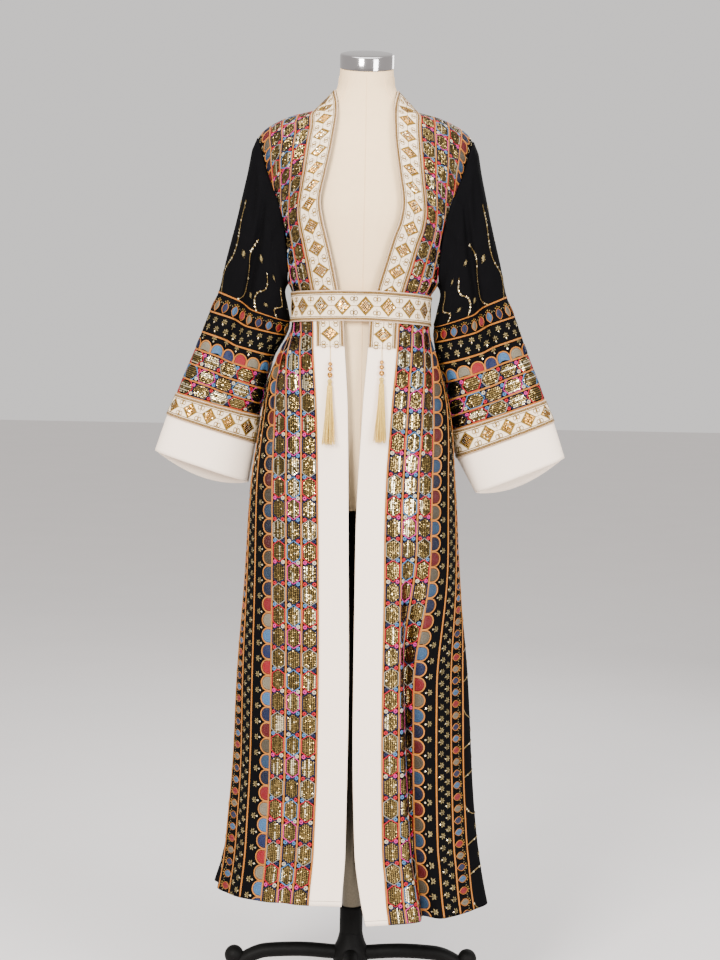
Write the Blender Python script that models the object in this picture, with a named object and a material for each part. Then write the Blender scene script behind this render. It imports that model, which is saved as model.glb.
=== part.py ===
"""Open-front abaya worn by a limbless dress form on a cast-iron stand.

Metres, +Z up, standing on z = 0. The front faces -Y, and "left" is the left of the front view, at -X.
The cloth follows one set of rounded level sections; every piece that lies on another is made from
its points, moved out along the surface.
"""
import math

import bmesh
import bpy
import numpy as np

# Cloth thicknesses, and the gap kept between neighbouring pieces; the sleeve's seam eases open to
# TIP_EASE at the shoulder tip, where its wall turns down
CREPE = 0.0015
TRIM = 0.0015
BAND = 0.0012
BELT_CLOTH = 0.0022
GAP = 0.0003
HALF_SEAM = 0.0002
TIP_EASE = 0.0013
TIP_EASE_START = 1.49

# Heights of the garment
SHOULDER_TIP = 1.557
UNDERARM = 1.297
BELT_TOP = 1.2860
BELT_MIDDLE = 1.2593
BELT_FOOT = 1.2325
BELT_SIDE_DROP = {-1: 0.0045, 1: 0.0090}
HEM_EDGE = {-1: 0.236, 1: 0.204}
HEM_SIDE = {-1: 0.227, 1: 0.213}
BACK_NECK_DROP = 0.010
BELT_BULGE = 0.0025

# Widths measured along the cloth from the front edge
TRIM_WIDTH = 0.050
# Width of each front's plain band: shares of the way from the belt to the hem, and widths
BAND_WIDTHS = {
    -1: ((0.0, 0.2, 0.4, 0.8, 1.0), (0.0565, 0.0530, 0.0512, 0.0518, 0.0560)),
    1: ((0.0, 0.08, 0.25, 0.45, 0.75, 0.92, 1.0), (0.0515, 0.0508, 0.0482, 0.0500, 0.0488, 0.0465, 0.0395)),
}
TRIM_COLUMNS = 4

# Level sections of the worn body cloth:
# height, half width, shift to the side, depth in front, depth behind, power of the rounded outline
BODY_SECTIONS = (
    (0.195, 0.250, -0.005, 0.184, 0.180, 2.15),
    (0.215, 0.246, -0.005, 0.182, 0.178, 2.15),
    (0.276, 0.233, -0.004, 0.177, 0.174, 2.15),
    (0.368, 0.2214, -0.0057, 0.171, 0.169, 2.15),
    (0.447, 0.2140, -0.0058, 0.167, 0.165, 2.15),
    (0.590, 0.2062, -0.0075, 0.160, 0.159, 2.20),
    (0.763, 0.1920, -0.0100, 0.151, 0.153, 2.25),
    (0.939, 0.1831, -0.0109, 0.142, 0.146, 2.30),
    (1.055, 0.1700, -0.0075, 0.133, 0.136, 2.30),
    (1.120, 0.1593, -0.0090, 0.126, 0.127, 2.30),
    (1.165, 0.1453, -0.0080, 0.119, 0.117, 2.30),
    (1.2215, 0.1230, -0.0030, 0.104, 0.099, 2.25),
    (1.2500, 0.1205, -0.0027, 0.099, 0.094, 2.25),
    (1.2785, 0.1225, -0.0020, 0.101, 0.097, 2.20),
    (1.2970, 0.1325, 0.0, 0.105, 0.101, 2.20),
    (1.3300, 0.1410, 0.0, 0.113, 0.106, 2.20),
    (1.4200, 0.1615, 0.0, 0.128, 0.115, 2.20),
    (1.4900, 0.1810, 0.0, 0.118, 0.113, 2.20),
    (1.5300, 0.1940, 0.0, 0.105, 0.104, 2.20),
    (1.5480, 0.1955, 0.0, 0.098, 0.097, 2.20),
    (1.5570, 0.1920, 0.0, 0.094, 0.093, 2.20),
    (1.5780, 0.1700, 0.0, 0.086, 0.085, 2.20),
    (1.5950, 0.1350, 0.0, 0.077, 0.077, 2.15),
    (1.6070, 0.0920, 0.0, 0.070, 0.071, 2.10),
    (1.6200, 0.0790, 0.0, 0.065, 0.066, 2.05),
    (1.6330, 0.0660, 0.0, 0.061, 0.061, 2.00),
    (1.6450, 0.0555, 0.0, 0.057, 0.058, 2.00),
)

# Front edge of each side: height, x of the left edge, x of the right edge
FRONT_EDGE = (
    (0.195, -0.0180, 0.0265),
    (0.245, -0.0165, 0.0150),
    (0.330, -0.0120, 0.0030),
    (0.550, -0.0112, -0.0040),
    (0.850, -0.0165, -0.0050),
    (1.080, -0.0222, 0.0030),
    (1.190, -0.0298, 0.0105),
    (1.2285, -0.0320, 0.0120),
    (1.2785, -0.0415, 0.0215),
    (1.3350, -0.0530, 0.0375),
    (1.3800, -0.0640, 0.0507),
    (1.4100, -0.0715, 0.0612),
    (1.4400, -0.0758, 0.0652),
    (1.4900, -0.0672, 0.0590),
    (1.5250, -0.0600, 0.0539),
    (1.5607, -0.0545, 0.0500),
    (1.6000, -0.0500, 0.0486),
    (1.6210, -0.0510, 0.0505),
    (1.6350, -0.0540, 0.0538),
    (1.6425, -0.0553, 0.0553),
    (1.6450, -0.0555, 0.0555),
)

# Armhole line on front and back: height, distance from the middle plane
ARMHOLE = (
    (1.2970, 0.1325),
    (1.3150, 0.1325),
    (1.3360, 0.1340),
    (1.3630, 0.1370),
    (1.3900, 0.1410),
    (1.4180, 0.1460),
    (1.4460, 0.1540),
    (1.4740, 0.1650),
    (1.5000, 0.1740),
    (1.5200, 0.1800),
    (1.5360, 0.1845),
    (1.5480, 0.1885),
    (1.5545, 0.1910),
    (1.5570, 0.1920),
)

# Rows of the bodice from the shoulder down: height at the front edge, height at the armhole
BODICE_ROWS = (
    (1.6450, 1.5570),
    (1.6420, 1.5540),
    (1.6320, 1.5450),
    (1.6120, 1.5290),
    (1.5820, 1.5070),
    (1.5450, 1.4790),
    (1.5050, 1.4460),
    (1.4650, 1.4140),
    (1.4250, 1.3820),
    (1.3850, 1.3510),
    (1.3450, 1.3230),
    (1.3030, 1.2970),
)
BACK_YOKE_HEIGHTS = (1.645, 1.632, 1.619, 1.607, 1.597, 1.580)
BACK_TRIM_ROWS = 4

# Share of the way from the belt's foot to the hem at each row of the skirt; the trim's tail ends at TAIL_ROW
SKIRT_ROWS = (0.0, 0.0462, 0.095, 0.16, 0.24, 0.33, 0.42, 0.51, 0.61, 0.71, 0.81, 0.91, 1.0)
TAIL_ROW = 1

# Share of the stretch beyond the band at each column of a front
FRONT_SHARES = (0.0, 0.11, 0.20, 0.25, 0.30, 0.345, 0.42, 0.54, 0.68, 0.84, 1.0)
BACK_COLUMNS = 20

# Lengthwise folds, as troughs (or ridges where the depth is negative). Places are metres of cloth from
# the front edge, or from the left side seam on the back; start and full are shares of the skirt.
# panel, place at start, place at hem, start, full, depth, width
FOLDS = (
    ("right", 0.096, 0.116, 0.32, 0.62, 0.032, 0.0125),
    ("right", 0.235, 0.250, 0.20, 0.90, -0.009, 0.034),
    ("left", 0.098, 0.104, 0.45, 1.00, 0.006, 0.016),
    ("left", 0.285, 0.300, 0.55, 1.00, 0.012, 0.020),
    ("back", 0.115, 0.130, 0.15, 0.90, 0.018, 0.034),
    ("back", 0.255, 0.320, 0.10, 0.85, 0.021, 0.036),
    ("back", 0.430, 0.530, 0.20, 0.95, 0.017, 0.034),
)

# Sleeve rings from the shoulder down, the last one at the cuff's end: outer x, outer height,
# depth of the middle (y), half depth, share of the lengthwise fold
SLEEVE_RINGS = (
    (0.2030, 1.5350, 0.002, 0.052, 0.0),
    (0.2090, 1.5000, 0.005, 0.053, 0.2),
    (0.2170, 1.4630, 0.009, 0.052, 0.5),
    (0.2310, 1.4000, 0.014, 0.049, 0.8),
    (0.2470, 1.3370, 0.019, 0.046, 1.0),
    (0.2590, 1.2825, 0.024, 0.043, 1.0),
    (0.2742, 1.2475, 0.028, 0.041, 0.9),
    (0.2884, 1.2101, 0.032, 0.039, 0.7),
    (0.2996, 1.1790, 0.036, 0.037, 0.45),
    (0.3213, 1.1273, 0.041, 0.036, 0.2),
    (0.3331, 1.0962, 0.043, 0.036, 0.1),
    (0.3501, 1.0568, 0.045, 0.036, 0.0),
    (0.3714, 0.9920, 0.047, 0.036, 0.0),
)
# Inner edge of the same rings on each sleeve: x, height
SLEEVE_INNER = {
    -1: ((0.1360, 1.2910), (0.1380, 1.2810), (0.1370, 1.2700), (0.1345, 1.2560), (0.1318, 1.2430),
         (0.1302, 1.2310), (0.1355, 1.2070), (0.1552, 1.1690), (0.1640, 1.1370), (0.1760, 1.0810),
         (0.1820, 1.0580), (0.1890, 1.0080), (0.2005, 0.9380)),
    1: ((0.1360, 1.2910), (0.1380, 1.2805), (0.1370, 1.2685), (0.1345, 1.2530), (0.1318, 1.2390),
        (0.1292, 1.2260), (0.1298, 1.1990), (0.1385, 1.1590), (0.1500, 1.1260), (0.1590, 1.0640),
        (0.1660, 1.0380), (0.1760, 0.9880), (0.2105, 0.9260)),
}
CUFF_BACK_DROP = 0.024
CUFF_SEAM_SHARE = 0.012
CUFF_TRIM_RINGS = 2
SLEEVE_POWER = 2.5
SLEEVE_FOLD_PLACE = 0.40
SLEEVE_FOLD_WIDTH = 0.055
SLEEVE_FOLD_DEPTH = 0.015
SLEEVE_FOLD_DROP = 0.011

# Torso of the dress form: height, half width, depth in front, depth behind
TORSO = (
    (0.900, 0.128, 0.086, 0.086),
    (0.903, 0.142, 0.097, 0.097),
    (0.915, 0.151, 0.104, 0.104),
    (0.960, 0.157, 0.110, 0.112),
    (1.030, 0.158, 0.113, 0.116),
    (1.115, 0.138, 0.104, 0.107),
    (1.200, 0.113, 0.090, 0.090),
    (1.250, 0.108, 0.086, 0.084),
    (1.290, 0.113, 0.090, 0.088),
    (1.350, 0.131, 0.105, 0.096),
    (1.420, 0.147, 0.117, 0.102),
    (1.480, 0.165, 0.108, 0.102),
    (1.525, 0.180, 0.094, 0.093),
    (1.545, 0.183, 0.087, 0.087),
    (1.556, 0.182, 0.082, 0.082),
    (1.570, 0.172, 0.077, 0.077),
    (1.582, 0.1535, 0.072, 0.072),
    (1.592, 0.1290, 0.067, 0.067),
    (1.602, 0.0955, 0.061, 0.061),
    (1.615, 0.0760, 0.056, 0.056),
    (1.630, 0.0640, 0.053, 0.0535),
    (1.644, 0.0538, 0.0505, 0.0510),
    (1.655, 0.0500, 0.0495, 0.0495),
)
TORSO_SIDES = 22
TORSO_POWER = 2.15
NECK_TOP = 1.6855
NECK_RADIUS = 0.0475
NECK_TILT = 0.26
CAP_PROFILE = ((0.0475, 0.0003), (0.0485, 0.0023), (0.0485, 0.0225), (0.0475, 0.0249), (0.0440, 0.0262),
               (0.0250, 0.0272))

# Stand
UPPER_POLE_RADIUS = 0.0170
LOWER_POLE_RADIUS = 0.0206
LOWER_POLE_TOP = 0.187
HUB_TOP = 0.140
HUB_PROFILE = ((0.0206, HUB_TOP), (0.0222, 0.132), (0.0246, 0.124), (0.0280, 0.117), (0.0310, 0.108),
               (0.0310, 0.080), (0.0270, 0.069), (0.0190, 0.064))
LEG_PATH = ((0.022, 0.103), (0.090, 0.107), (0.150, 0.104), (0.190, 0.088), (0.215, 0.058), (0.226, 0.026),
            (0.232, 0.006))
LEG_HALF_WIDTH = 0.014
LEG_HALF_HEIGHT = 0.0125
KNOB_REACH = 0.2085
KNOB_HEIGHT = 0.0947
KNOB_RADIUS = 0.017
FOOT_REACH = 0.234
FOOT_RADIUS = 0.021
FOOT_HEIGHT = 0.012
LEG_COUNT = 4
ROUND_SIDES = 20

# Tassel pendants: beads hang below the trim's tail, on a cord
CORD_RADIUS = 0.0005
BEAD_HOLE = 0.0012
BEADS = ((1.1620, 0.0036), (1.1536, 0.0041), (1.1432, 0.0048))
CORD_START = 0.0006
CORD_POINTS = 17
TASSEL_TOP = 1.1362
TASSEL_FOOT = 1.0230
TASSEL_TOP_LIFT = 0.0062
TASSEL_FOOT_LIFT = 0.0125
PENDANT_DROP = {-1: 0.0045, 1: 0.0}
STRAND_SECTORS = 10
STRAND_SPREAD = 2.5


def smooth(keys, values):
    """Return a function that runs smoothly through the points without overshooting them."""
    order = np.argsort(keys)
    keys = np.asarray(keys, float)[order]
    values = np.asarray(values, float)[order]
    steps = np.diff(keys)
    slopes = np.diff(values) / steps
    tangents = np.zeros(len(keys))
    tangents[0] = slopes[0]
    tangents[-1] = slopes[-1]
    for i in range(1, len(keys) - 1):
        if slopes[i - 1] * slopes[i] > 0:
            tangents[i] = 2 * slopes[i - 1] * slopes[i] / (slopes[i - 1] + slopes[i])

    def at(key):
        key = np.clip(key, keys[0], keys[-1])
        i = np.clip(np.searchsorted(keys, key) - 1, 0, len(steps) - 1)
        t = (key - keys[i]) / steps[i]
        start = values[i] * (2 * t**3 - 3 * t**2 + 1) + steps[i] * tangents[i] * (t**3 - 2 * t**2 + t)
        return start + values[i + 1] * (3 * t**2 - 2 * t**3) + steps[i] * tangents[i + 1] * (t**3 - t**2)

    return at


def table_curves(table):
    """Turn a table whose first column is the height into one smooth function for each other column."""
    columns = list(zip(*table))
    return [smooth(columns[0], column) for column in columns[1:]]


half_width, side_shift, front_depth, back_depth, outline_power = table_curves(BODY_SECTIONS)
left_edge, right_edge = table_curves(FRONT_EDGE)
(armhole_reach,) = table_curves(ARMHOLE)


def ease(value, start, full):
    """Rise smoothly from 0 at start to 1 at full."""
    share = np.clip((value - start) / (full - start), 0.0, 1.0)
    return share * share * (3 - 2 * share)


def body_point(height, turn, side):
    """Point on the outside of the worn cloth; turn is 0 at the front middle, 90 degrees at the side."""
    power = 2.0 / outline_power(height)
    x = side_shift(height) + side * half_width(height) * np.abs(np.sin(turn)) ** power
    depth = np.where(turn < math.pi / 2, -front_depth(height), back_depth(height))
    y = depth * np.abs(np.cos(turn)) ** power
    return np.stack(np.broadcast_arrays(x, y, height), axis=-1)


def turn_at(height, x, side):
    """Turn at which the section at a height reaches x in front."""
    reach = side * (x - side_shift(height)) / half_width(height)
    return math.asin(min(max(float(reach), 0.0), 1.0) ** (float(outline_power(height)) / 2.0))


def edge_turn(height, side):
    """Turn of the front edge at a height."""
    return turn_at(height, left_edge(height) if side < 0 else right_edge(height), side)


def armhole_turn(height):
    """Turn of the armhole line at a height, or of the side seam below the armhole."""
    if height <= UNDERARM or height >= SHOULDER_TIP:
        return math.pi / 2
    return turn_at(height, armhole_reach(height), 1)


def arc_lengths(points):
    """Length along a row of points, from its first point to each."""
    steps = np.linalg.norm(np.diff(points, axis=0), axis=1)
    return np.concatenate(((0.0,), np.cumsum(steps)))


def folded(points, panel, share):
    """Push a level row of points in and out by the panel's folds, at a share of the skirt's length."""
    place = arc_lengths(points)
    along = np.gradient(points, axis=0)
    outward = np.stack((-along[:, 1], along[:, 0], np.zeros(len(points))), axis=1)
    outward /= np.linalg.norm(outward, axis=1)[:, None]
    if np.sum(outward[:, 1] * points[:, 1]) < 0:
        outward = -outward
    push = np.zeros(len(points))
    for name, first, last, start, full, depth, width in FOLDS:
        if name == panel:
            middle = first + (last - first) * ease(share, start, 1.0)
            push -= depth * ease(share, start, full) * np.exp(-(((place - middle) / width) ** 2))
    return points + outward * push[:, None]


def pick(points, places):
    """Points of a row at the given lengths along it."""
    lengths = arc_lengths(points)
    return np.stack([np.interp(places, lengths, points[:, axis]) for axis in range(3)], axis=1)


def front_row(side, edge_height, outer_height, share=0.0):
    """One row of a front, from its edge to the armhole or side seam, with folds below the belt."""
    steps = np.linspace(0.0, 1.0, 241)
    edge = edge_turn(edge_height, side)
    turn = edge + (armhole_turn(outer_height) - edge) * steps
    height = edge_height + (outer_height - edge_height) * steps
    points = body_point(height, turn, side)
    if share > 0:
        points = folded(points, "left" if side < 0 else "right", share)
    reach = arc_lengths(points)[-1]
    band = np.interp(share, *BAND_WIDTHS[side])
    near = np.linspace(0.0, min(TRIM_WIDTH, band - 0.0020), TRIM_COLUMNS + 1)
    far = band + (reach - band) * np.array(FRONT_SHARES)
    row = pick(points, np.concatenate((near, far)))
    row[:, 1] = np.minimum(row[:, 1], -HALF_SEAM)
    return row


def front_rows(side):
    """All rows of a front, from the shoulder to the hem."""
    rows = [front_row(side, edge, outer) for edge, outer in BODICE_ROWS]
    drop = BELT_SIDE_DROP[side]
    rows += [front_row(side, height, height - drop) for height in (BELT_TOP, BELT_MIDDLE)]
    for share in SKIRT_ROWS:
        edge_height = BELT_FOOT + (HEM_EDGE[side] - BELT_FOOT) * share
        side_height = BELT_FOOT - drop + (HEM_SIDE[side] - BELT_FOOT + drop) * share
        rows.append(front_row(side, edge_height, side_height, share))
    return np.array(rows)


def back_row(left_height, right_height, drop=0.0, share=0.0):
    """One row of the back, from its left boundary round to its right one."""
    steps = np.linspace(-1.0, 1.0, 401)
    level = left_height + (right_height - left_height) * (steps + 1) / 2 - drop * (1 - steps**2)
    turn = armhole_turn(left_height)
    angle = math.pi - (math.pi / 2 + (math.pi / 2 - turn)) * np.abs(steps)
    if turn < math.pi / 2:
        angle = math.pi - turn * np.abs(steps)
    side = np.where(steps < 0, -1.0, 1.0)
    points = body_point(level, angle, side)
    if share > 0:
        points = folded(points, "back", share)
    row = pick(points, np.linspace(0.0, arc_lengths(points)[-1], BACK_COLUMNS))
    row[:, 1] = np.maximum(row[:, 1], HALF_SEAM)
    return row


def back_rows():
    """All rows of the back, from the neck to the hem."""
    rows = []
    for height in BACK_YOKE_HEIGHTS:
        rows.append(back_row(height, height, BACK_NECK_DROP * ease(height, SHOULDER_TIP, 1.607)))
    rows += [back_row(outer, outer) for edge, outer in BODICE_ROWS]
    feet = {side: BELT_FOOT - BELT_SIDE_DROP[side] for side in (-1, 1)}
    for height in (BELT_TOP, BELT_MIDDLE):
        rows.append(back_row(height - BELT_SIDE_DROP[-1], height - BELT_SIDE_DROP[1]))
    for share in SKIRT_ROWS:
        left = feet[-1] + (HEM_SIDE[-1] - feet[-1]) * share
        right = feet[1] + (HEM_SIDE[1] - feet[1]) * share
        rows.append(back_row(left, right, share=share))
    return np.array(rows)


def grid_normals(points, centres, closed=False):
    """Unit normals of a grid of points, pointing away from each row's centre."""
    down = np.gradient(points, axis=0)
    if closed:
        across = np.roll(points, -1, axis=1) - np.roll(points, 1, axis=1)
    else:
        across = np.gradient(points, axis=1)
    normals = np.cross(across, down)
    normals /= np.linalg.norm(normals, axis=2)[:, :, None]
    away = np.sum(normals * (points - centres[:, None, :]))
    return normals if away > 0 else -normals


def flatten_seam(normals):
    """Keep a seam's normals in the plane of the seam, so that neither side crosses it."""
    normals[..., 1] = 0.0
    normals /= np.linalg.norm(normals, axis=-1)[..., None]


def axis_points(points):
    """Points of the middle axis at each row's mean height."""
    centres = np.zeros((len(points), 3))
    centres[:, 2] = points[:, :, 2].mean(axis=1)
    return centres


def finish(name, colour, roughness, metallic=0.0):
    """Make a Principled material."""
    material = bpy.data.materials.new(name)
    material.use_nodes = True
    shader = material.node_tree.nodes["Principled BSDF"]
    shader.inputs["Base Color"].default_value = (*colour, 1.0)
    shader.inputs["Roughness"].default_value = roughness
    shader.inputs["Metallic"].default_value = metallic
    return material


def add_object(name, points, faces, material, sharp=40.0):
    """Make a named object from points and faces, with its faces turned outwards."""
    mesh = bpy.data.meshes.new(name)
    mesh.from_pydata([tuple(point) for point in points], [], faces)
    shape = bmesh.new()
    shape.from_mesh(mesh)
    if shape.calc_volume(signed=True) < 0:
        bmesh.ops.reverse_faces(shape, faces=shape.faces)
    shape.to_mesh(mesh)
    shape.free()
    mesh.materials.append(material)
    mesh.shade_smooth()
    mesh.set_sharp_from_angle(angle=math.radians(sharp))
    item = bpy.data.objects.new(name, mesh)
    bpy.context.scene.collection.objects.link(item)
    return item


def wall(name, outer, inner, material, closed=False):
    """Close an outer and an inner grid of points into one cloth wall."""
    rows, columns = outer.shape[:2]
    layer = rows * columns
    spans = columns if closed else columns - 1
    faces = []

    def corner(row, column, inside):
        return inside * layer + row * columns + column % columns

    def patch(a, b, c, d):
        faces.append((a, b, c))
        faces.append((a, c, d))

    for row in range(rows - 1):
        for column in range(spans):
            square = [(row, column), (row, column + 1), (row + 1, column + 1), (row + 1, column)]
            patch(*[corner(*place, 0) for place in square])
            first, second, third, fourth = [corner(*place, 1) for place in square]
            faces.append((first, third, second))
            faces.append((first, fourth, third))
    for column in range(spans):
        last = rows - 1
        patch(corner(0, column + 1, 0), corner(0, column, 0), corner(0, column, 1), corner(0, column + 1, 1))
        patch(corner(last, column, 0), corner(last, column + 1, 0), corner(last, column + 1, 1),
              corner(last, column, 1))
    if not closed:
        for row in range(rows - 1):
            last = columns - 1
            patch(corner(row, 0, 0), corner(row + 1, 0, 0), corner(row + 1, 0, 1), corner(row, 0, 1))
            patch(corner(row + 1, last, 0), corner(row, last, 0), corner(row, last, 1),
                  corner(row + 1, last, 1))
    return add_object(name, np.concatenate((outer.reshape(-1, 3), inner.reshape(-1, 3))), faces, material)


def lathe(name, profile, centre, sides, material):
    """Turn a profile of radius and height, listed from one end to the other, into a closed solid."""
    points = []
    faces = []
    for radius, height in profile:
        for i in range(sides):
            angle = 2 * math.pi * i / sides
            points.append((centre[0] + radius * math.cos(angle), centre[1] + radius * math.sin(angle),
                           centre[2] + height))
    for row in range(len(profile) - 1):
        for i in range(sides):
            j = (i + 1) % sides
            faces.append((row * sides + i, row * sides + j, (row + 1) * sides + j, (row + 1) * sides + i))
    faces.append(tuple(reversed(range(sides))))
    faces.append(tuple((len(profile) - 1) * sides + i for i in range(sides)))
    return add_object(name, points, faces, material)


def garment_rows(side):
    """Outer points and normals of a front."""
    points = front_rows(side)
    normals = grid_normals(points, axis_points(points))
    flatten_seam(normals[0])
    flatten_seam(normals[len(BODICE_ROWS) - 1:, -1])
    return points, normals


def back_garment_rows():
    """Outer points and normals of the back."""
    points = back_rows()
    normals = grid_normals(points, axis_points(points))
    ridge = len(BACK_YOKE_HEIGHTS) + 1
    underarm = len(BACK_YOKE_HEIGHTS) + len(BODICE_ROWS) - 1
    for column in (0, -1):
        flatten_seam(normals[:ridge, column])
        flatten_seam(normals[underarm:, column])
    return points, normals


def lay_on(name, points, normals, lift, thickness, material, closed=False):
    """Lay a piece of cloth on a stretch of points, moved out by a lift that may vary from row to row."""
    lift = np.broadcast_to(lift, points.shape[:2])[..., None]
    return wall(name, points + normals * (lift + thickness), points + normals * lift, material, closed)


def build_body(finishes):
    """Make the fronts, the back, the front bands, the neck trim and the belt."""
    belt_rows = []
    belt_top = len(BODICE_ROWS)
    tail = belt_top + 2 + TAIL_ROW
    trim_end = TRIM_COLUMNS + 1
    for side, word in ((-1, "left"), (1, "right")):
        points, normals = garment_rows(side)
        lay_on("front_" + word, points, normals, -CREPE, CREPE, finishes["crepe"])
        band = slice(belt_top + 1, None)
        lay_on("front_band_" + word, points[band, :trim_end + 1], normals[band, :trim_end + 1], GAP, BAND,
               finishes["cream"])
        lift = np.full((tail + 1, 1), GAP)
        lift[belt_top + 1:] = GAP + BAND + GAP
        lay_on("neck_trim_" + word, points[:tail + 1, :trim_end], normals[:tail + 1, :trim_end], lift, TRIM,
               finishes["diamond_trim"])
        belt_rows.append((points[belt_top:belt_top + 3], normals[belt_top:belt_top + 3]))
    points, normals = back_garment_rows()
    lay_on("back", points, normals, -CREPE, CREPE, finishes["crepe"])
    lay_on("neck_trim_back", points[:BACK_TRIM_ROWS], normals[:BACK_TRIM_ROWS], GAP, TRIM,
           finishes["diamond_trim"])
    first = len(BACK_YOKE_HEIGHTS) + len(BODICE_ROWS)
    belt_rows.append((points[first:first + 3], normals[first:first + 3]))
    build_belt(belt_rows, finishes["diamond_trim"])


def build_belt(belt_rows, material):
    """Wrap the belt round the fronts, over the trim, and across the open front."""
    (left, left_out), (right, right_out), (back, back_out) = belt_rows
    over_trim = GAP + BAND + GAP + TRIM + 2 * GAP
    lifts = [over_trim] * (TRIM_COLUMNS + 2) + [2 * GAP] * (left.shape[1] - TRIM_COLUMNS - 2)
    front_lift = np.tile(lifts, (3, 1))
    back_lift = np.full(back.shape[:2], 2 * GAP)
    points = np.concatenate((right, back[:, -2:0:-1], left[:, ::-1]), axis=1)
    normals = np.concatenate((right_out, back_out[:, -2:0:-1], left_out[:, ::-1]), axis=1)
    lift = np.concatenate((front_lift, back_lift[:, -2:0:-1], front_lift[:, ::-1]), axis=1)
    middle = (points[:, :1] + points[:, -1:]) / 2 + np.array((0.0, -BELT_BULGE, 0.0))
    points = np.concatenate((points, middle), axis=1)
    forward = np.zeros_like(middle)
    forward[..., 1] = -1.0
    normals = np.concatenate((normals, forward), axis=1)
    lift = np.concatenate((lift, np.full((3, 1), over_trim)), axis=1)
    lay_on("belt", points, normals, lift, BELT_CLOTH, material, closed=True)


def ring_shares(blend):
    """Shares of the way from a sleeve's outer edge to its inner edge; blend evens them out round the tube."""
    heights = np.array([outer for edge, outer in BODICE_ROWS])
    seam = (SHOULDER_TIP - heights) / (SHOULDER_TIP - UNDERARM)
    even = (1 - np.cos(np.pi * np.arange(len(seam)) / (len(seam) - 1))) / 2
    return seam + (even - seam) * blend


def sleeve_ring(values, blend, back_drop=0.0):
    """Ring of the right sleeve: from the outer edge over the front to the inner edge, and back behind."""
    outer_x, outer_z, inner_x, inner_z, middle_y, half_depth, fold = values
    shares = ring_shares(blend)
    depth = half_depth * (1 - np.abs(1 - 2 * shares) ** SLEEVE_POWER) ** (1 / SLEEVE_POWER)
    x = outer_x + (inner_x - outer_x) * shares
    z = outer_z + (inner_z - outer_z) * shares
    off_fold = (shares - SLEEVE_FOLD_PLACE) / SLEEVE_FOLD_WIDTH
    trough = fold * SLEEVE_FOLD_DEPTH * np.exp(-off_fold**2)
    drop = fold * SLEEVE_FOLD_DROP * (0.5 + 0.5 * np.tanh(off_fold)) * (1 - shares) ** 0.5
    front = np.stack((x, middle_y - depth + trough, z - drop), axis=1)
    behind = np.stack((x, middle_y + depth, z - back_drop * np.sin(np.pi * shares) ** 0.7), axis=1)
    return np.concatenate((front, behind[-2:0:-1]))


def sleeve_rings(side):
    """Rings of one sleeve: outer x and height, inner x and height, middle, half depth and fold."""
    return np.array([(*ring[:2], *inner, *ring[2:]) for ring, inner in zip(SLEEVE_RINGS, SLEEVE_INNER[side])])


def armhole_ring():
    """Points of the armhole's edge on the right of the body, in the sleeve's order."""
    rows = len(BODICE_ROWS)
    yoke = len(BACK_YOKE_HEIGHTS)
    return np.concatenate((front_rows(1)[:rows, -1], back_rows()[yoke:yoke + rows, -1][-2:0:-1]))


def build_sleeves(finishes):
    """Make both sleeves with their trims and cuffs."""
    trim = slice(-CUFF_TRIM_RINGS, None)
    for side, word in ((-1, "left"), (1, "right")):
        *table, end = sleeve_rings(side)
        blends = np.clip(np.arange(1, len(table) + 1) / 4.0, 0.0, 1.0)
        rings = np.array([sleeve_ring(values, blend) for values, blend in zip(table, blends)])
        grid = np.concatenate((armhole_ring()[None], rings))
        grid[0, :, 0] += HALF_SEAM * 2 + TIP_EASE * ease(grid[0, :, 2], TIP_EASE_START, SHOULDER_TIP)
        normals = grid_normals(grid, grid.mean(axis=1), closed=True)
        inside = grid - normals * CREPE
        wrist = table[-1]
        cuff = np.array([sleeve_ring(wrist, 1.0), sleeve_ring((wrist + end) / 2, 1.0, CUFF_BACK_DROP / 3),
                         sleeve_ring(end, 1.0, CUFF_BACK_DROP)])
        cuff_out = grid_normals(cuff, cuff.mean(axis=1), closed=True)
        cuff[0] += (cuff[1] - cuff[0]) * CUFF_SEAM_SHARE
        mirror = np.array((side, 1.0, 1.0))
        wall("sleeve_" + word, grid * mirror, inside * mirror, finishes["crepe"], closed=True)
        lay_on("cuff_trim_" + word, grid[trim] * mirror, normals[trim] * mirror, GAP, TRIM,
               finishes["diamond_trim"], closed=True)
        lay_on("cuff_" + word, cuff * mirror, cuff_out * mirror, -CREPE, CREPE, finishes["cream"], closed=True)


def torso_ring(half, front, behind, height, tilt=0.0, power=TORSO_POWER):
    """One level ring of the dress form."""
    points = []
    for i in range(TORSO_SIDES):
        angle = 2 * math.pi * i / TORSO_SIDES
        x = half * math.copysign(abs(math.cos(angle)) ** (2 / power), math.cos(angle))
        depth = behind if math.sin(angle) > 0 else front
        y = depth * math.copysign(abs(math.sin(angle)) ** (2 / power), math.sin(angle))
        points.append((x, y, height + tilt * y))
    return points


def build_form(finishes):
    """Make the torso with its neck, and the metal cap on the neck."""
    rings = [torso_ring(half, front, behind, height) for height, half, front, behind in TORSO]
    rings.append(torso_ring(NECK_RADIUS, NECK_RADIUS, NECK_RADIUS, NECK_TOP, NECK_TILT, 2.0))
    loft("form_torso", rings, finishes["linen"])
    cap = [torso_ring(radius, radius, radius, NECK_TOP + rise, NECK_TILT, 2.0) for radius, rise in CAP_PROFILE]
    loft("neck_cap", cap, finishes["chrome"])


def loft(name, rings, material):
    """Close a stack of rings of equal count into a solid with flat ends."""
    sides = len(rings[0])
    points = [point for ring in rings for point in ring]
    faces = []
    for row in range(len(rings) - 1):
        for i in range(sides):
            j = (i + 1) % sides
            faces.append((row * sides + i, row * sides + j, (row + 1) * sides + j, (row + 1) * sides + i))
    faces.append(tuple(reversed(range(sides))))
    faces.append(tuple((len(rings) - 1) * sides + i for i in range(sides)))
    return add_object(name, points, faces, material)


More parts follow.
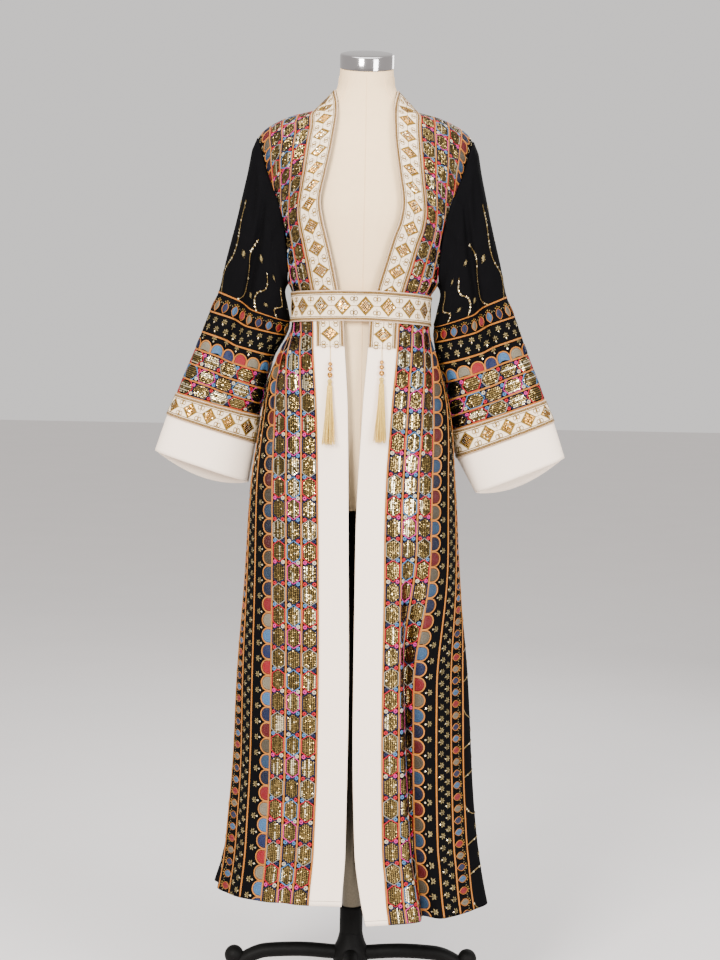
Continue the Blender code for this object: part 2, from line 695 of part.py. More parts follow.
def build_stand(finishes):
    """Make the two tubes of the pole and the four-legged base."""
    torso_foot = TORSO[0][0]
    upper = ((UPPER_POLE_RADIUS, LOWER_POLE_TOP + GAP), (UPPER_POLE_RADIUS, torso_foot - GAP))
    lathe("pole_upper", upper, (0, 0, 0), ROUND_SIDES, finishes["pole"])
    lower = ((LOWER_POLE_RADIUS, HUB_TOP + GAP), (LOWER_POLE_RADIUS, LOWER_POLE_TOP))
    lathe("pole_lower", lower, (0, 0, 0), ROUND_SIDES, finishes["iron"])
    base = lathe("base", HUB_PROFILE, (0, 0, 0), ROUND_SIDES, finishes["iron"])
    for number in range(LEG_COUNT):
        turn = 2 * math.pi * number / LEG_COUNT
        for cutter in (leg_solid(number), knob_solid(number), foot_solid(number)):
            cutter.rotation_euler = (0, 0, turn)
            cutter.hide_render = True
            cutter.display_type = "WIRE"
            joint = base.modifiers.new("join", "BOOLEAN")
            joint.operation = "UNION"
            joint.object = cutter


def leg_solid(number):
    """Arched leg, swept with eight sides along its path in the XZ plane."""
    path = np.array(LEG_PATH)
    heading = np.gradient(path, axis=0)
    heading /= np.linalg.norm(heading, axis=1)[:, None]
    rings = []
    for (reach, height), (along, up) in zip(path, heading):
        ring = []
        for i in range(8):
            angle = 2 * math.pi * (i + 0.5) / 8
            rise = LEG_HALF_HEIGHT * math.sin(angle) / math.cos(math.pi / 8)
            ring.append((reach - up * rise, LEG_HALF_WIDTH * math.cos(angle) / math.cos(math.pi / 8),
                         height + along * rise))
        rings.append(ring)
    return loft(f"leg_shape_{number + 1}", rings, bpy.data.materials["cast iron"])


def knob_solid(number):
    """Round knob on top of a leg."""
    profile = []
    for i in range(1, 6):
        angle = math.pi * i / 6
        profile.append((KNOB_RADIUS * math.sin(angle), KNOB_RADIUS * math.cos(angle)))
    return lathe(f"knob_shape_{number + 1}", profile, (KNOB_REACH, 0, KNOB_HEIGHT), 12,
                 bpy.data.materials["cast iron"])


def foot_solid(number):
    """Flat round foot under a leg."""
    profile = ((FOOT_RADIUS * 0.8, FOOT_HEIGHT), (FOOT_RADIUS, FOOT_HEIGHT * 0.6), (FOOT_RADIUS, 0.0))
    return lathe(f"foot_shape_{number + 1}", profile, (FOOT_REACH, 0, 0), 16, bpy.data.materials["cast iron"])


def pendant_point(side, height, lift):
    """Point in front of the band, plumb below the middle of the trim's tail, at a lift from the front."""
    points, normals = garment_rows(side)
    tail = len(BODICE_ROWS) + 2 + TAIL_ROW
    plumb = points[tail, TRIM_COLUMNS // 2, 0]
    levels = []
    depths = []
    for row in points[tail:, :2 * TRIM_COLUMNS]:
        order = np.argsort(row[:, 0])
        levels.append(-np.interp(plumb, row[order, 0], row[order, 2]))
        depths.append(np.interp(plumb, row[order, 0], row[order, 1]))
    return np.array((plumb, np.interp(-height, levels, depths) - lift, height))


def build_pendant(side, word, finishes):
    """Hang a cord, three beads and a tassel from the tail of a front's trim."""
    points, normals = garment_rows(side)
    tail_height = points[len(BODICE_ROWS) + 2 + TAIL_ROW, TRIM_COLUMNS // 2, 2]
    cover = GAP + BAND
    drop = PENDANT_DROP[side]
    stops = [(tail_height - CORD_START, cover + GAP + TRIM / 2)]
    stops += [(height - drop, cover + radius + 2 * GAP) for height, radius in BEADS]
    stops.append((TASSEL_TOP - drop + GAP, cover + TASSEL_TOP_LIFT))
    route = [pendant_point(side, height, lift) for height, lift in stops]
    lengths = arc_lengths(np.array(route))
    curves = [smooth(lengths, [point[axis] for point in route]) for axis in range(3)]
    cord_points = [[curve(length) for curve in curves] for length in np.linspace(0, lengths[-1], CORD_POINTS)]
    add_cord("cord_" + word, cord_points, finishes["gold_thread"])
    for number, (height, radius) in enumerate(BEADS, 1):
        span = route[number + 1] - route[number - 1]
        lean = span / span[2]
        add_bead(f"bead_{word}_{number}", route[number], lean, radius, finishes["gold_bead"])
    top = pendant_point(side, TASSEL_TOP - drop, cover + TASSEL_TOP_LIFT)
    foot = pendant_point(side, TASSEL_FOOT - drop, cover + TASSEL_FOOT_LIFT)
    add_tassel("tassel_" + word, top, foot, finishes["gold_thread"])


def add_cord(name, route, material):
    """Make a thin cord as a bevelled curve."""
    curve = bpy.data.curves.new(name, "CURVE")
    curve.dimensions = "3D"
    curve.bevel_depth = CORD_RADIUS
    curve.bevel_resolution = 1
    curve.use_fill_caps = True
    line = curve.splines.new("POLY")
    line.points.add(len(route) - 1)
    for spot, place in zip(line.points, route):
        spot.co = (*place, 1.0)
    curve.materials.append(material)
    item = bpy.data.objects.new(name, curve)
    bpy.context.scene.collection.objects.link(item)


def add_bead(name, centre, lean, radius, material, sides=8):
    """Make a round bead with a hole down its middle, leaning as the cord does."""
    rings = []
    for i in range(5):
        angle = math.radians(-68 + 34 * i)
        rings.append((radius * math.cos(angle), radius * math.sin(angle)))
    rings += [(BEAD_HOLE, rings[-1][1]), (BEAD_HOLE, rings[0][1])]
    points = []
    for reach, height in rings:
        for i in range(sides):
            angle = 2 * math.pi * i / sides
            points.append((centre[0] + reach * math.cos(angle) + lean[0] * height,
                           centre[1] + reach * math.sin(angle) + lean[1] * height, centre[2] + height))
    faces = []
    for row in range(len(rings)):
        below = (row + 1) % len(rings)
        for i in range(sides):
            j = (i + 1) % sides
            faces.append((row * sides + i, row * sides + j, below * sides + j, below * sides + i))
    add_object(name, points, faces, material)


def add_tassel(name, top, foot, material):
    """Make a tassel: a bound head whose underside is drawn down into strands."""
    head = ((0.0012, 0.0), (0.0034, -0.0014), (0.0040, -0.0050), (0.0028, -0.0078), (0.0036, -0.0098),
            (0.0040, -0.0120))
    rings = (0.0040, 0.0026, 0.0012)
    shape = bmesh.new()
    circles = []
    for reach, height in head + tuple((reach, -0.0120) for reach in rings[1:]):
        circle = []
        for i in range(STRAND_SECTORS):
            angle = 2 * math.pi * i / STRAND_SECTORS
            circle.append(shape.verts.new((reach * math.cos(angle), reach * math.sin(angle), height)))
        circles.append(circle)
    roots = []
    for row in range(len(circles) - 1):
        for i in range(STRAND_SECTORS):
            j = (i + 1) % STRAND_SECTORS
            face = shape.faces.new((circles[row][i], circles[row + 1][i], circles[row + 1][j], circles[row][j]))
            if row >= len(head) - 1:
                roots.append(face)
    shape.faces.new(circles[0])
    shape.faces.new(list(reversed(circles[-1])))
    shape.normal_update()
    bmesh.ops.inset_individual(shape, faces=roots, thickness=0.00022)
    length = (top - foot)[2]
    for share in (0.45, 1.0):
        pulled = bmesh.ops.extrude_discrete_faces(shape, faces=roots)
        roots = pulled["faces"]
        target = 1 + (STRAND_SPREAD - 1) * share
        last = 1 + (STRAND_SPREAD - 1) * (0.45 if share == 1.0 else 0.0)
        for face in roots:
            middle = face.calc_center_median()
            reach = middle.copy()
            reach.z = 0.0
            grow = 1.0 + 0.25 * share
            for vertex in face.verts:
                own = vertex.co - middle
                flat = reach * (target / last)
                vertex.co = flat + own * grow
                vertex.co.z = -0.0120 - (length - 0.0120) * share
    lean = (foot - top) / (foot - top)[2]
    for vertex in shape.verts:
        depth = vertex.co.z
        vertex.co.x += top[0] + lean[0] * depth
        vertex.co.y += top[1] + lean[1] * depth
        vertex.co.z += top[2]
    mesh = bpy.data.meshes.new(name)
    shape.to_mesh(mesh)
    shape.free()
    points = [tuple(vertex.co) for vertex in mesh.vertices]
    faces = [tuple(polygon.vertices) for polygon in mesh.polygons]
    bpy.data.meshes.remove(mesh)
    add_object(name, points, faces, material)


def main():
    """Empty the scene and build every piece."""
    for item in list(bpy.data.objects):
        bpy.data.objects.remove(item, do_unlink=True)
    finishes = {
        "crepe": finish("black crepe", (0.006, 0.006, 0.008), 0.75),
        "cream": finish("cream crepe", (0.86, 0.80, 0.73), 0.70),
        "diamond_trim": finish("gold diamond trim", (0.72, 0.55, 0.33), 0.55, 0.2),
        "gold_thread": finish("gold silk thread", (0.80, 0.70, 0.42), 0.50),
        "gold_bead": finish("gold bead", (0.83, 0.58, 0.27), 0.28, 0.9),
        "linen": finish("beige linen", (0.83, 0.74, 0.61), 0.80),
        "chrome": finish("chrome", (0.80, 0.80, 0.80), 0.12, 1.0),
        "pole": finish("bronzed steel tube", (0.10, 0.08, 0.055), 0.35, 0.9),
        "iron": finish("cast iron", (0.02, 0.02, 0.02), 0.45, 0.3),
    }
    build_body(finishes)
    build_sleeves(finishes)
    build_form(finishes)
    build_stand(finishes)
    for side, word in ((-1, "left"), (1, "right")):
        build_pendant(side, word, finishes)


main()
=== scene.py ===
import math

import bmesh
import bpy
import numpy as np
from mathutils import Euler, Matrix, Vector


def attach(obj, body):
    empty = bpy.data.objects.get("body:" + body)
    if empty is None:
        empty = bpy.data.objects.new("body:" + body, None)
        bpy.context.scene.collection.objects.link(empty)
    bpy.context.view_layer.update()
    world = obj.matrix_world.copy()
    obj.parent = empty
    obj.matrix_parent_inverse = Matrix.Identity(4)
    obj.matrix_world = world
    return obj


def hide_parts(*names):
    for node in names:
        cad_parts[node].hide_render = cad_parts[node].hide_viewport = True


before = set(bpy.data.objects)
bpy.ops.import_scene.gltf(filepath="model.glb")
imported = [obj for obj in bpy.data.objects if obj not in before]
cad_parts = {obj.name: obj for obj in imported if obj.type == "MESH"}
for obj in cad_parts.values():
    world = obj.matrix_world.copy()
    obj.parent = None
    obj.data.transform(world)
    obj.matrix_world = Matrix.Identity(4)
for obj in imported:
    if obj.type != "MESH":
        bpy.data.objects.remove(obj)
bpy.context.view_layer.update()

# Looks of the open-front abaya on its dress form. Lengths are metres, and the front faces -Y.
# The cloth's surfaces are worked out from the same sections as the solids, only finer.
RNG = np.random.default_rng(7)
WORDS = {-1: "left", 1: "right"}

# Gap between pieces, and cloth thicknesses
GAP = 0.0003
CREPE = 0.0015
TRIM = 0.0015
BAND = 0.0012
BELT_CLOTH = 0.0022
# Half the gap at the side seams, the width over which the back is drawn onto the fronts there, and
# how far the sleeves stand off at the shoulder's tip, from this height up
HALF_SEAM = 0.0002
SEAM_BLEND = 0.060
TIP_EASE = 0.0013
TIP_EASE_START = 1.49

# Heights and widths of the garment
SHOULDER_TIP = 1.557
UNDERARM = 1.297
BELT_TOP = 1.2860
BELT_MIDDLE = 1.2593
BELT_FOOT = 1.2325
BELT_SIDE_DROP = {-1: 0.0045, 1: 0.0090}
HEM_EDGE = {-1: 0.236, 1: 0.204}
HEM_SIDE = {-1: 0.227, 1: 0.213}
BACK_NECK_DROP = 0.010
BELT_BULGE = 0.0025
TRIM_WIDTH = 0.050
TAIL_SHARE = 0.0462

# Level sections of the worn body cloth:
# height, half width, shift to the side, depth in front, depth behind, power of the rounded outline
BODY_SECTIONS = (
    (0.195, 0.250, -0.005, 0.184, 0.180, 2.15), (0.215, 0.246, -0.005, 0.182, 0.178, 2.15),
    (0.276, 0.233, -0.004, 0.177, 0.174, 2.15), (0.368, 0.2214, -0.0057, 0.171, 0.169, 2.15),
    (0.447, 0.2140, -0.0058, 0.167, 0.165, 2.15), (0.590, 0.2062, -0.0075, 0.160, 0.159, 2.20),
    (0.763, 0.1920, -0.0100, 0.151, 0.153, 2.25), (0.939, 0.1831, -0.0109, 0.142, 0.146, 2.30),
    (1.055, 0.1700, -0.0075, 0.133, 0.136, 2.30), (1.120, 0.1593, -0.0090, 0.126, 0.127, 2.30),
    (1.165, 0.1453, -0.0080, 0.119, 0.117, 2.30), (1.2215, 0.1230, -0.0030, 0.104, 0.099, 2.25),
    (1.2500, 0.1205, -0.0027, 0.099, 0.094, 2.25), (1.2785, 0.1225, -0.0020, 0.101, 0.097, 2.20),
    (1.2970, 0.1325, 0.0, 0.105, 0.101, 2.20), (1.3300, 0.1410, 0.0, 0.113, 0.106, 2.20),
    (1.4200, 0.1615, 0.0, 0.128, 0.115, 2.20), (1.4900, 0.1810, 0.0, 0.118, 0.113, 2.20),
    (1.5300, 0.1940, 0.0, 0.105, 0.104, 2.20), (1.5480, 0.1955, 0.0, 0.098, 0.097, 2.20),
    (1.5570, 0.1920, 0.0, 0.094, 0.093, 2.20), (1.5780, 0.1700, 0.0, 0.086, 0.085, 2.20),
    (1.5950, 0.1350, 0.0, 0.077, 0.077, 2.15), (1.6070, 0.0920, 0.0, 0.070, 0.071, 2.10),
    (1.6200, 0.0790, 0.0, 0.065, 0.066, 2.05), (1.6330, 0.0660, 0.0, 0.061, 0.061, 2.00),
    (1.6450, 0.0555, 0.0, 0.057, 0.058, 2.00),
)

# Front edge of each side: height, x of the left edge, x of the right edge
FRONT_EDGE = (
    (0.195, -0.0180, 0.0265), (0.245, -0.0165, 0.0150), (0.330, -0.0120, 0.0030), (0.550, -0.0112, -0.0040),
    (0.850, -0.0165, -0.0050), (1.080, -0.0222, 0.0030), (1.190, -0.0298, 0.0105),
    (1.2285, -0.0320, 0.0120), (1.2785, -0.0415, 0.0215), (1.3350, -0.0530, 0.0375),
    (1.3800, -0.0640, 0.0507), (1.4100, -0.0715, 0.0612), (1.4400, -0.0758, 0.0652),
    (1.4900, -0.0672, 0.0590), (1.5250, -0.0600, 0.0539), (1.5607, -0.0545, 0.0500),
    (1.6000, -0.0500, 0.0486), (1.6210, -0.0510, 0.0505), (1.6350, -0.0540, 0.0538),
    (1.6425, -0.0553, 0.0553), (1.6450, -0.0555, 0.0555),
)

# Width of each front's plain band: shares of the way from the belt to the hem, and widths
BAND_WIDTHS = {
    "left": ((0.0, 0.2, 0.4, 0.8, 1.0), (0.0565, 0.0530, 0.0512, 0.0518, 0.0560)),
    "right": ((0.0, 0.08, 0.25, 0.45, 0.75, 0.92, 1.0),
              (0.0515, 0.0508, 0.0482, 0.0500, 0.0488, 0.0465, 0.0395)),
}
# Armhole line on front and back: height, distance from the middle plane
ARMHOLE = (
    (1.2970, 0.1325), (1.3150, 0.1325), (1.3360, 0.1340), (1.3630, 0.1370), (1.3900, 0.1410),
    (1.4180, 0.1460), (1.4460, 0.1540), (1.4740, 0.1650), (1.5000, 0.1740), (1.5200, 0.1800),
    (1.5360, 0.1845), (1.5480, 0.1885), (1.5545, 0.1910), (1.5570, 0.1920),
)

# Rows of the bodice from the shoulder down: height at the front edge, height at the armhole
BODICE_ROWS = (
    (1.6450, 1.5570), (1.6420, 1.5540), (1.6320, 1.5450), (1.6120, 1.5290), (1.5820, 1.5070),
    (1.5450, 1.4790), (1.5050, 1.4460), (1.4650, 1.4140), (1.4250, 1.3820), (1.3850, 1.3510),
    (1.3450, 1.3230), (1.3030, 1.2970),
)
BACK_YOKE_HEIGHTS = (1.645, 1.632, 1.619, 1.607, 1.597, 1.580)
BACK_TRIM_FOOT = 1.607

# Lengthwise folds of each panel's skirt:
# place at start, place at hem, start, full, depth, width
FOLDS = {
    "right": ((0.096, 0.116, 0.32, 0.62, 0.032, 0.0125), (0.235, 0.250, 0.20, 0.90, -0.009, 0.034)),
    "left": ((0.098, 0.104, 0.45, 1.00, 0.006, 0.016), (0.285, 0.300, 0.55, 1.00, 0.012, 0.020)),
    "back": ((0.115, 0.130, 0.15, 0.90, 0.018, 0.034), (0.255, 0.320, 0.10, 0.85, 0.021, 0.036),
        (0.430, 0.530, 0.20, 0.95, 0.017, 0.034)),
}

# Sleeve rings from the shoulder down, the last one at the cuff's end: outer x, outer height,
# depth of the middle (y), half depth, share of the lengthwise fold
SLEEVE_RINGS = (
    (0.2030, 1.5350, 0.002, 0.052, 0.0), (0.2090, 1.5000, 0.005, 0.053, 0.2),
    (0.2170, 1.4630, 0.009, 0.052, 0.5), (0.2310, 1.4000, 0.014, 0.049, 0.8),
    (0.2470, 1.3370, 0.019, 0.046, 1.0), (0.2590, 1.2825, 0.024, 0.043, 1.0),
    (0.2742, 1.2475, 0.028, 0.041, 0.9), (0.2884, 1.2101, 0.032, 0.039, 0.7),
    (0.2996, 1.1790, 0.036, 0.037, 0.45), (0.3213, 1.1273, 0.041, 0.036, 0.2),
    (0.3331, 1.0962, 0.043, 0.036, 0.1), (0.3501, 1.0568, 0.045, 0.036, 0.0),
    (0.3714, 0.9920, 0.047, 0.036, 0.0),
)
# Inner edge of the same rings on each sleeve: x, height
SLEEVE_INNER = {
    -1: ((0.1360, 1.2910), (0.1380, 1.2810), (0.1370, 1.2700), (0.1345, 1.2560), (0.1318, 1.2430),
         (0.1302, 1.2310), (0.1355, 1.2070), (0.1552, 1.1690), (0.1640, 1.1370), (0.1760, 1.0810),
         (0.1820, 1.0580), (0.1890, 1.0080), (0.2005, 0.9380)),
    1: ((0.1360, 1.2910), (0.1380, 1.2805), (0.1370, 1.2685), (0.1345, 1.2530), (0.1318, 1.2390),
        (0.1292, 1.2260), (0.1298, 1.1990), (0.1385, 1.1590), (0.1500, 1.1260), (0.1590, 1.0640),
        (0.1660, 1.0380), (0.1760, 0.9880), (0.2105, 0.9260)),
}
CUFF_BACK_DROP = 0.024
SLEEVE_POWER = 2.5
SLEEVE_FOLD_PLACE = 0.40
SLEEVE_FOLD_WIDTH = 0.055
SLEEVE_FOLD_DEPTH = 0.015
SLEEVE_FOLD_DROP = 0.011

# How finely the cloth is worked out: spacing of rows and columns, points of a row and of a ring
ROW_SPACING = 0.006
COLUMN_SPACING = 0.003
FRONT_POINTS = 321
BACK_POINTS = 481
HALF_RING_POINTS = 56
RING_POINTS = 144
BELT_POINTS = 360
SLEEVE_ROWS = 100
# Column of a front along which its length down is measured, and the one that gives a place's height
MEASURED_COLUMN = 33
HEIGHT_COLUMN = 40
# Sleeve ring by which the armhole's spacing of points has become even
EVEN_RING = 4.0
# The belt lies this far from the cloth, and this share of each front lifts it over the trim
BELT_EASE = 0.0016
BELT_RISE = 0.65
# Lengths over which the trim steps up onto the band, and the border's columns shift at the belt
STEP_UP = 0.02
COLUMN_SHIFT = 0.012

# Columns of the border, measured from its first cord outwards across the cloth
COLUMN_START = 0.0515
BAND_MARGIN = 0.0020
COLUMN_PITCH = 0.028
SKIRT_SPREAD = 0.045
HEXAGON_COLUMNS = 3
HEXAGON_STRINGS = 6
STRING_PITCH = 0.295
SCALLOP_STRAIGHT = 0.0080
LEAF_LINE = 0.128
EYE_LINE = 0.163
BORDER_END = 0.198
HEXAGON_PITCH = 0.0368
SCALLOP_PITCH = 0.0270
LEAF_PITCH = 0.0202
DIAMOND_PITCH = 0.0395
SPRIG_SIZE = 1.18

# The same border on a sleeve, measured up from the cuff's trim along the outer edge
SLEEVE_COLUMNS = (0.0015, 0.0315, 0.0600, 0.0885)
SLEEVE_LEAF_LINE = 0.1215
SLEEVE_EYE_LINE = 0.1615
SLEEVE_BORDER_END = 0.1995

# Thread and sequin colours
ORANGE = (0.430, 0.150, 0.020)
PALE_GOLD = (0.250, 0.140, 0.018)
RED = (0.400, 0.006, 0.014)
NAVY = (0.0012, 0.0020, 0.009)
STEEL = (0.008, 0.019, 0.038)
MAGENTA = (0.480, 0.018, 0.180)
CREAM = (0.500, 0.420, 0.300)
RED_CHAIN = (0.034, 0.0008, 0.0014)
GREY_CHAIN = (0.026, 0.019, 0.011)
# Lighter copy of the steel fill, for painted sheen
SHEEN_LIT_STEEL_CHAIN = (0.036, 0.095, 0.190)
NAVY_LINE = (0.006, 0.009, 0.042)
SKY_LINE = (0.060, 0.165, 0.330)
GREY_LINE = (0.210, 0.195, 0.160)
OLIVE = (0.255, 0.172, 0.058)
COPPER = (0.360, 0.168, 0.026)
# Pale colour painted on some sequins as a highlight, standing in for flashes of reflected light
PAINTED_GLINT = (1.0, 0.84, 0.52)
# Lighter copies of the red, grey and navy fills, for painted sheen
SHEEN_LIT_RED_CHAIN = (0.190, 0.005, 0.009)
SHEEN_LIT_GREY_CHAIN = (0.130, 0.110, 0.076)
SHEEN_LIT_NAVY_CHAIN = (0.005, 0.010, 0.045)
VINE_GOLD = (0.270, 0.180, 0.060)
LEAF_GOLD = (0.230, 0.170, 0.065)
BRAID_GOLD = (0.190, 0.095, 0.010)
HEM_STITCH = (0.20, 0.13, 0.09)
PIPING = (0.52, 0.34, 0.22)

# Width and height of each kind of stitching
THREADS = {
    "cord": (0.0016, 0.0011), "hexagon": (0.0020, 0.0011), "small ring": (0.0026, 0.0010),
    "scallop": (0.0025, 0.0013), "ridge": (0.0015, 0.0007), "stem": (0.0013, 0.0005),
    "oval": (0.0010, 0.0010), "slit": (0.0009, 0.0005), "diamond": (0.0036, 0.0011),
    "join": (0.0013, 0.0007), "bar": (0.0012, 0.0007), "double ring": (0.0015, 0.0008),
    "braid": (0.0020, 0.0011), "inner braid": (0.0014, 0.0011), "piping": (0.0016, 0.0010),
    "vine": (0.0016, 0.0009), "hem": (0.0007, 0.0005),
}
# Lines along the trims: distance from each edge, and kind
TRIM_LINES = ((0.0029, "braid"), (0.0049, "braid"), (0.0076, "inner braid"), (0.0010, "piping"))
# Radius of each kind of sequin, how far they tilt, and their lift from the cloth
SEQUINS = {
    "hexagon": (0.00152, 0.14, 0.0006), "scallop": (0.0017, 0.15, 0.0007), "sprig": (0.0013, 0.2, 0.0008),
    "diamond": (0.0018, 0.13, 0.0006), "vine": (0.0013, 0.15, 0.0010),
}

# Stitches are sunk this far into the cloth they are sewn on, and stop this far from its edges
STITCH_SINK = 0.0002
SEAM_MARGIN = 0.0008
TRIM_MARGIN = 0.0003
BELT_MARGIN = 0.0012

# Heights at which a red hexagon, scallop and oval lie on each front, and the columns they are measured on
RED_HEIGHTS = {
    -1: {"hexagon": 0.9424, "scallop": 0.630, "eye": 0.4826},
    1: {"hexagon": 0.9135, "scallop": 0.821, "eye": 0.406},
}
RED_COLUMNS = {"hexagon": 34, "scallop": 50, "eye": 78}
# Column and heights of one diamond on the trims and one on their tails, and how far to the right
# of its middle one lies on the belt
TRIM_COLUMN = 8
TRIM_DIAMOND = 1.320
TAIL_DIAMOND = 1.2086
BELT_DIAMOND = 0.0158
# Height above which the trim's repeats are drawn closer together, by what share, and the share by
# which the border's are above the belt
BUST_HEIGHT = 1.437
CHEST_REPEAT = 0.80
BODICE_REPEAT = 0.78
# Length of the vines' repeat, and numbers of hexagons round a sleeve and of diamonds round the belt
VINE_REPEAT = 0.168
SLEEVE_REPEATS = 11
BELT_REPEATS = 18

# Pendants: cord, beads and tassel below the trim's tail
CORD_RADIUS = 0.0005
BEAD_HOLE = 0.0012
BEADS = ((1.1620, 0.0036), (1.1536, 0.0041), (1.1432, 0.0048))
CORD_START = 0.0006
TASSEL_TOP = 1.1362
TASSEL_FOOT = 1.0230
TASSEL_TOP_LIFT = 0.0062
TASSEL_FOOT_LIFT = 0.0125
TASSEL_STRANDS = 84
TASSEL_HEAD = 0.0118
GOLDEN_ANGLE = 2.39996
PENDANT_DROP = {-1: 0.0045, 1: 0.0}

# Camera: distance in front of the form's axis, eye height and place across, height at the picture's
# centre, roll in degrees, focal length and sensor in millimetres; and half the floor's width
CAMERA_DISTANCE = 3.60
CAMERA_HEIGHT = 1.232
CAMERA_SIDE = -0.004
CAMERA_AIM = 0.948
CAMERA_ROLL = 1.06
LENS = 75.4
SENSOR = 36.0
FLOOR_REACH = 20.0


def smooth(keys, values):
    """Return a function that runs smoothly through the points without overshooting them."""
    order = np.argsort(keys)
    keys = np.asarray(keys, float)[order]
    values = np.asarray(values, float)[order]
    steps = np.diff(keys)
    slopes = np.diff(values) / steps
    tangents = np.zeros(len(keys))
    tangents[0] = slopes[0]
    tangents[-1] = slopes[-1]
    for i in range(1, len(keys) - 1):
        if slopes[i - 1] * slopes[i] > 0:
            tangents[i] = 2 * slopes[i - 1] * slopes[i] / (slopes[i - 1] + slopes[i])

    def at(key):
        key = np.clip(key, keys[0], keys[-1])
        i = np.clip(np.searchsorted(keys, key) - 1, 0, len(steps) - 1)
        t = (key - keys[i]) / steps[i]
        start = values[i] * (2 * t**3 - 3 * t**2 + 1) + steps[i] * tangents[i] * (t**3 - 2 * t**2 + t)
        return start + values[i + 1] * (3 * t**2 - 2 * t**3) + steps[i] * tangents[i + 1] * (t**3 - t**2)

    return at


def table_curves(table):
    """Turn a table whose first column is the height into one smooth function for each other column."""
    columns = list(zip(*table))
    return [smooth(columns[0], column) for column in columns[1:]]


half_width, side_shift, front_depth, back_depth, outline_power = table_curves(BODY_SECTIONS)
left_edge, right_edge = table_curves(FRONT_EDGE)
(armhole_reach,) = table_curves(ARMHOLE)


def side_by_side(*values):
    """Values as the parts of points or faces."""
    return np.stack(np.broadcast_arrays(*values), axis=-1)


def unit(vectors):
    """Vectors of length 1."""
    return vectors / np.maximum(np.linalg.norm(vectors, axis=-1, keepdims=True), 1e-9)


def shares(count):
    """Even shares from 0 to 1."""
    return np.linspace(0.0, 1.0, count)


def angles_round(count):
    """Even angles all the way round."""
    return 2 * np.pi * np.arange(count) / count


def squares(near, far):
    """Squares between two rings of corners."""
    return side_by_side(near, np.roll(near, -1, axis=-1), np.roll(far, -1, axis=-1), far)


def ease(value, start, full):
    """Rise smoothly from 0 at start to 1 at full."""
    share = np.clip((value - start) / (full - start), 0.0, 1.0)
    return share * share * (3 - 2 * share)


def body_point(height, turn, side):
    """Point on the outside of the worn cloth; turn is 0 at the front middle, 90 degrees at the side."""
    power = 2.0 / outline_power(height)
    x = side_shift(height) + side * half_width(height) * np.abs(np.sin(turn)) ** power
    depth = np.where(turn < math.pi / 2, -front_depth(height), back_depth(height))
    y = depth * np.abs(np.cos(turn)) ** power
    return side_by_side(x, y, height)


def turn_at(height, x, side):
    """Turn at which the section at a height reaches x in front."""
    reach = side * (x - side_shift(height)) / half_width(height)
    return math.asin(min(max(float(reach), 0.0), 1.0) ** (float(outline_power(height)) / 2.0))


def edge_turn(height, side):
    """Turn of the front edge at a height."""
    return turn_at(height, left_edge(height) if side < 0 else right_edge(height), side)


def armhole_turn(height):
    """Turn of the armhole line at a height, or of the side seam below the armhole."""
    if height <= UNDERARM or height >= SHOULDER_TIP:
        return math.pi / 2
    return turn_at(height, armhole_reach(height), 1)


def arc_lengths(points):
    """Length along a row of points, from its first point to each."""
    steps = np.linalg.norm(np.diff(points, axis=0), axis=1)
    return np.concatenate(((0.0,), np.cumsum(steps)))


def points_at(places, points):
    """Points at lengths along a row of points, and the row's whole length."""
    lengths = arc_lengths(points)
    return np.stack([np.interp(places, lengths, axis) for axis in points.T], axis=1), lengths[-1]


def folded(points, panel, share):
    """Push a level row of points in and out by the panel's folds, at a share of the skirt's length."""
    place = arc_lengths(points)
    along = np.gradient(points, axis=0)
    outward = unit(side_by_side(-along[:, 1], along[:, 0], 0.0))
    if np.sum(outward[:, 1] * points[:, 1]) < 0:
        outward = -outward
    push = np.zeros(len(points))
    for first, last, start, full, depth, width in FOLDS[panel]:
        middle = first + (last - first) * ease(share, start, 1.0)
        push -= depth * ease(share, start, full) * np.exp(-(((place - middle) / width) ** 2))
    return points + outward * push[:, None]


def grid_normals(points, centres, closed=False):
    """Unit normals of a grid of points, pointing away from each row's centre."""
    down = np.gradient(points, axis=0)
    if closed:
        across = np.roll(points, -1, axis=1) - np.roll(points, 1, axis=1)
    else:
        across = np.gradient(points, axis=1)
    normals = unit(np.cross(across, down))
    away = np.sum(normals * (points - centres[:, None, :]))
    return normals if away > 0 else -normals


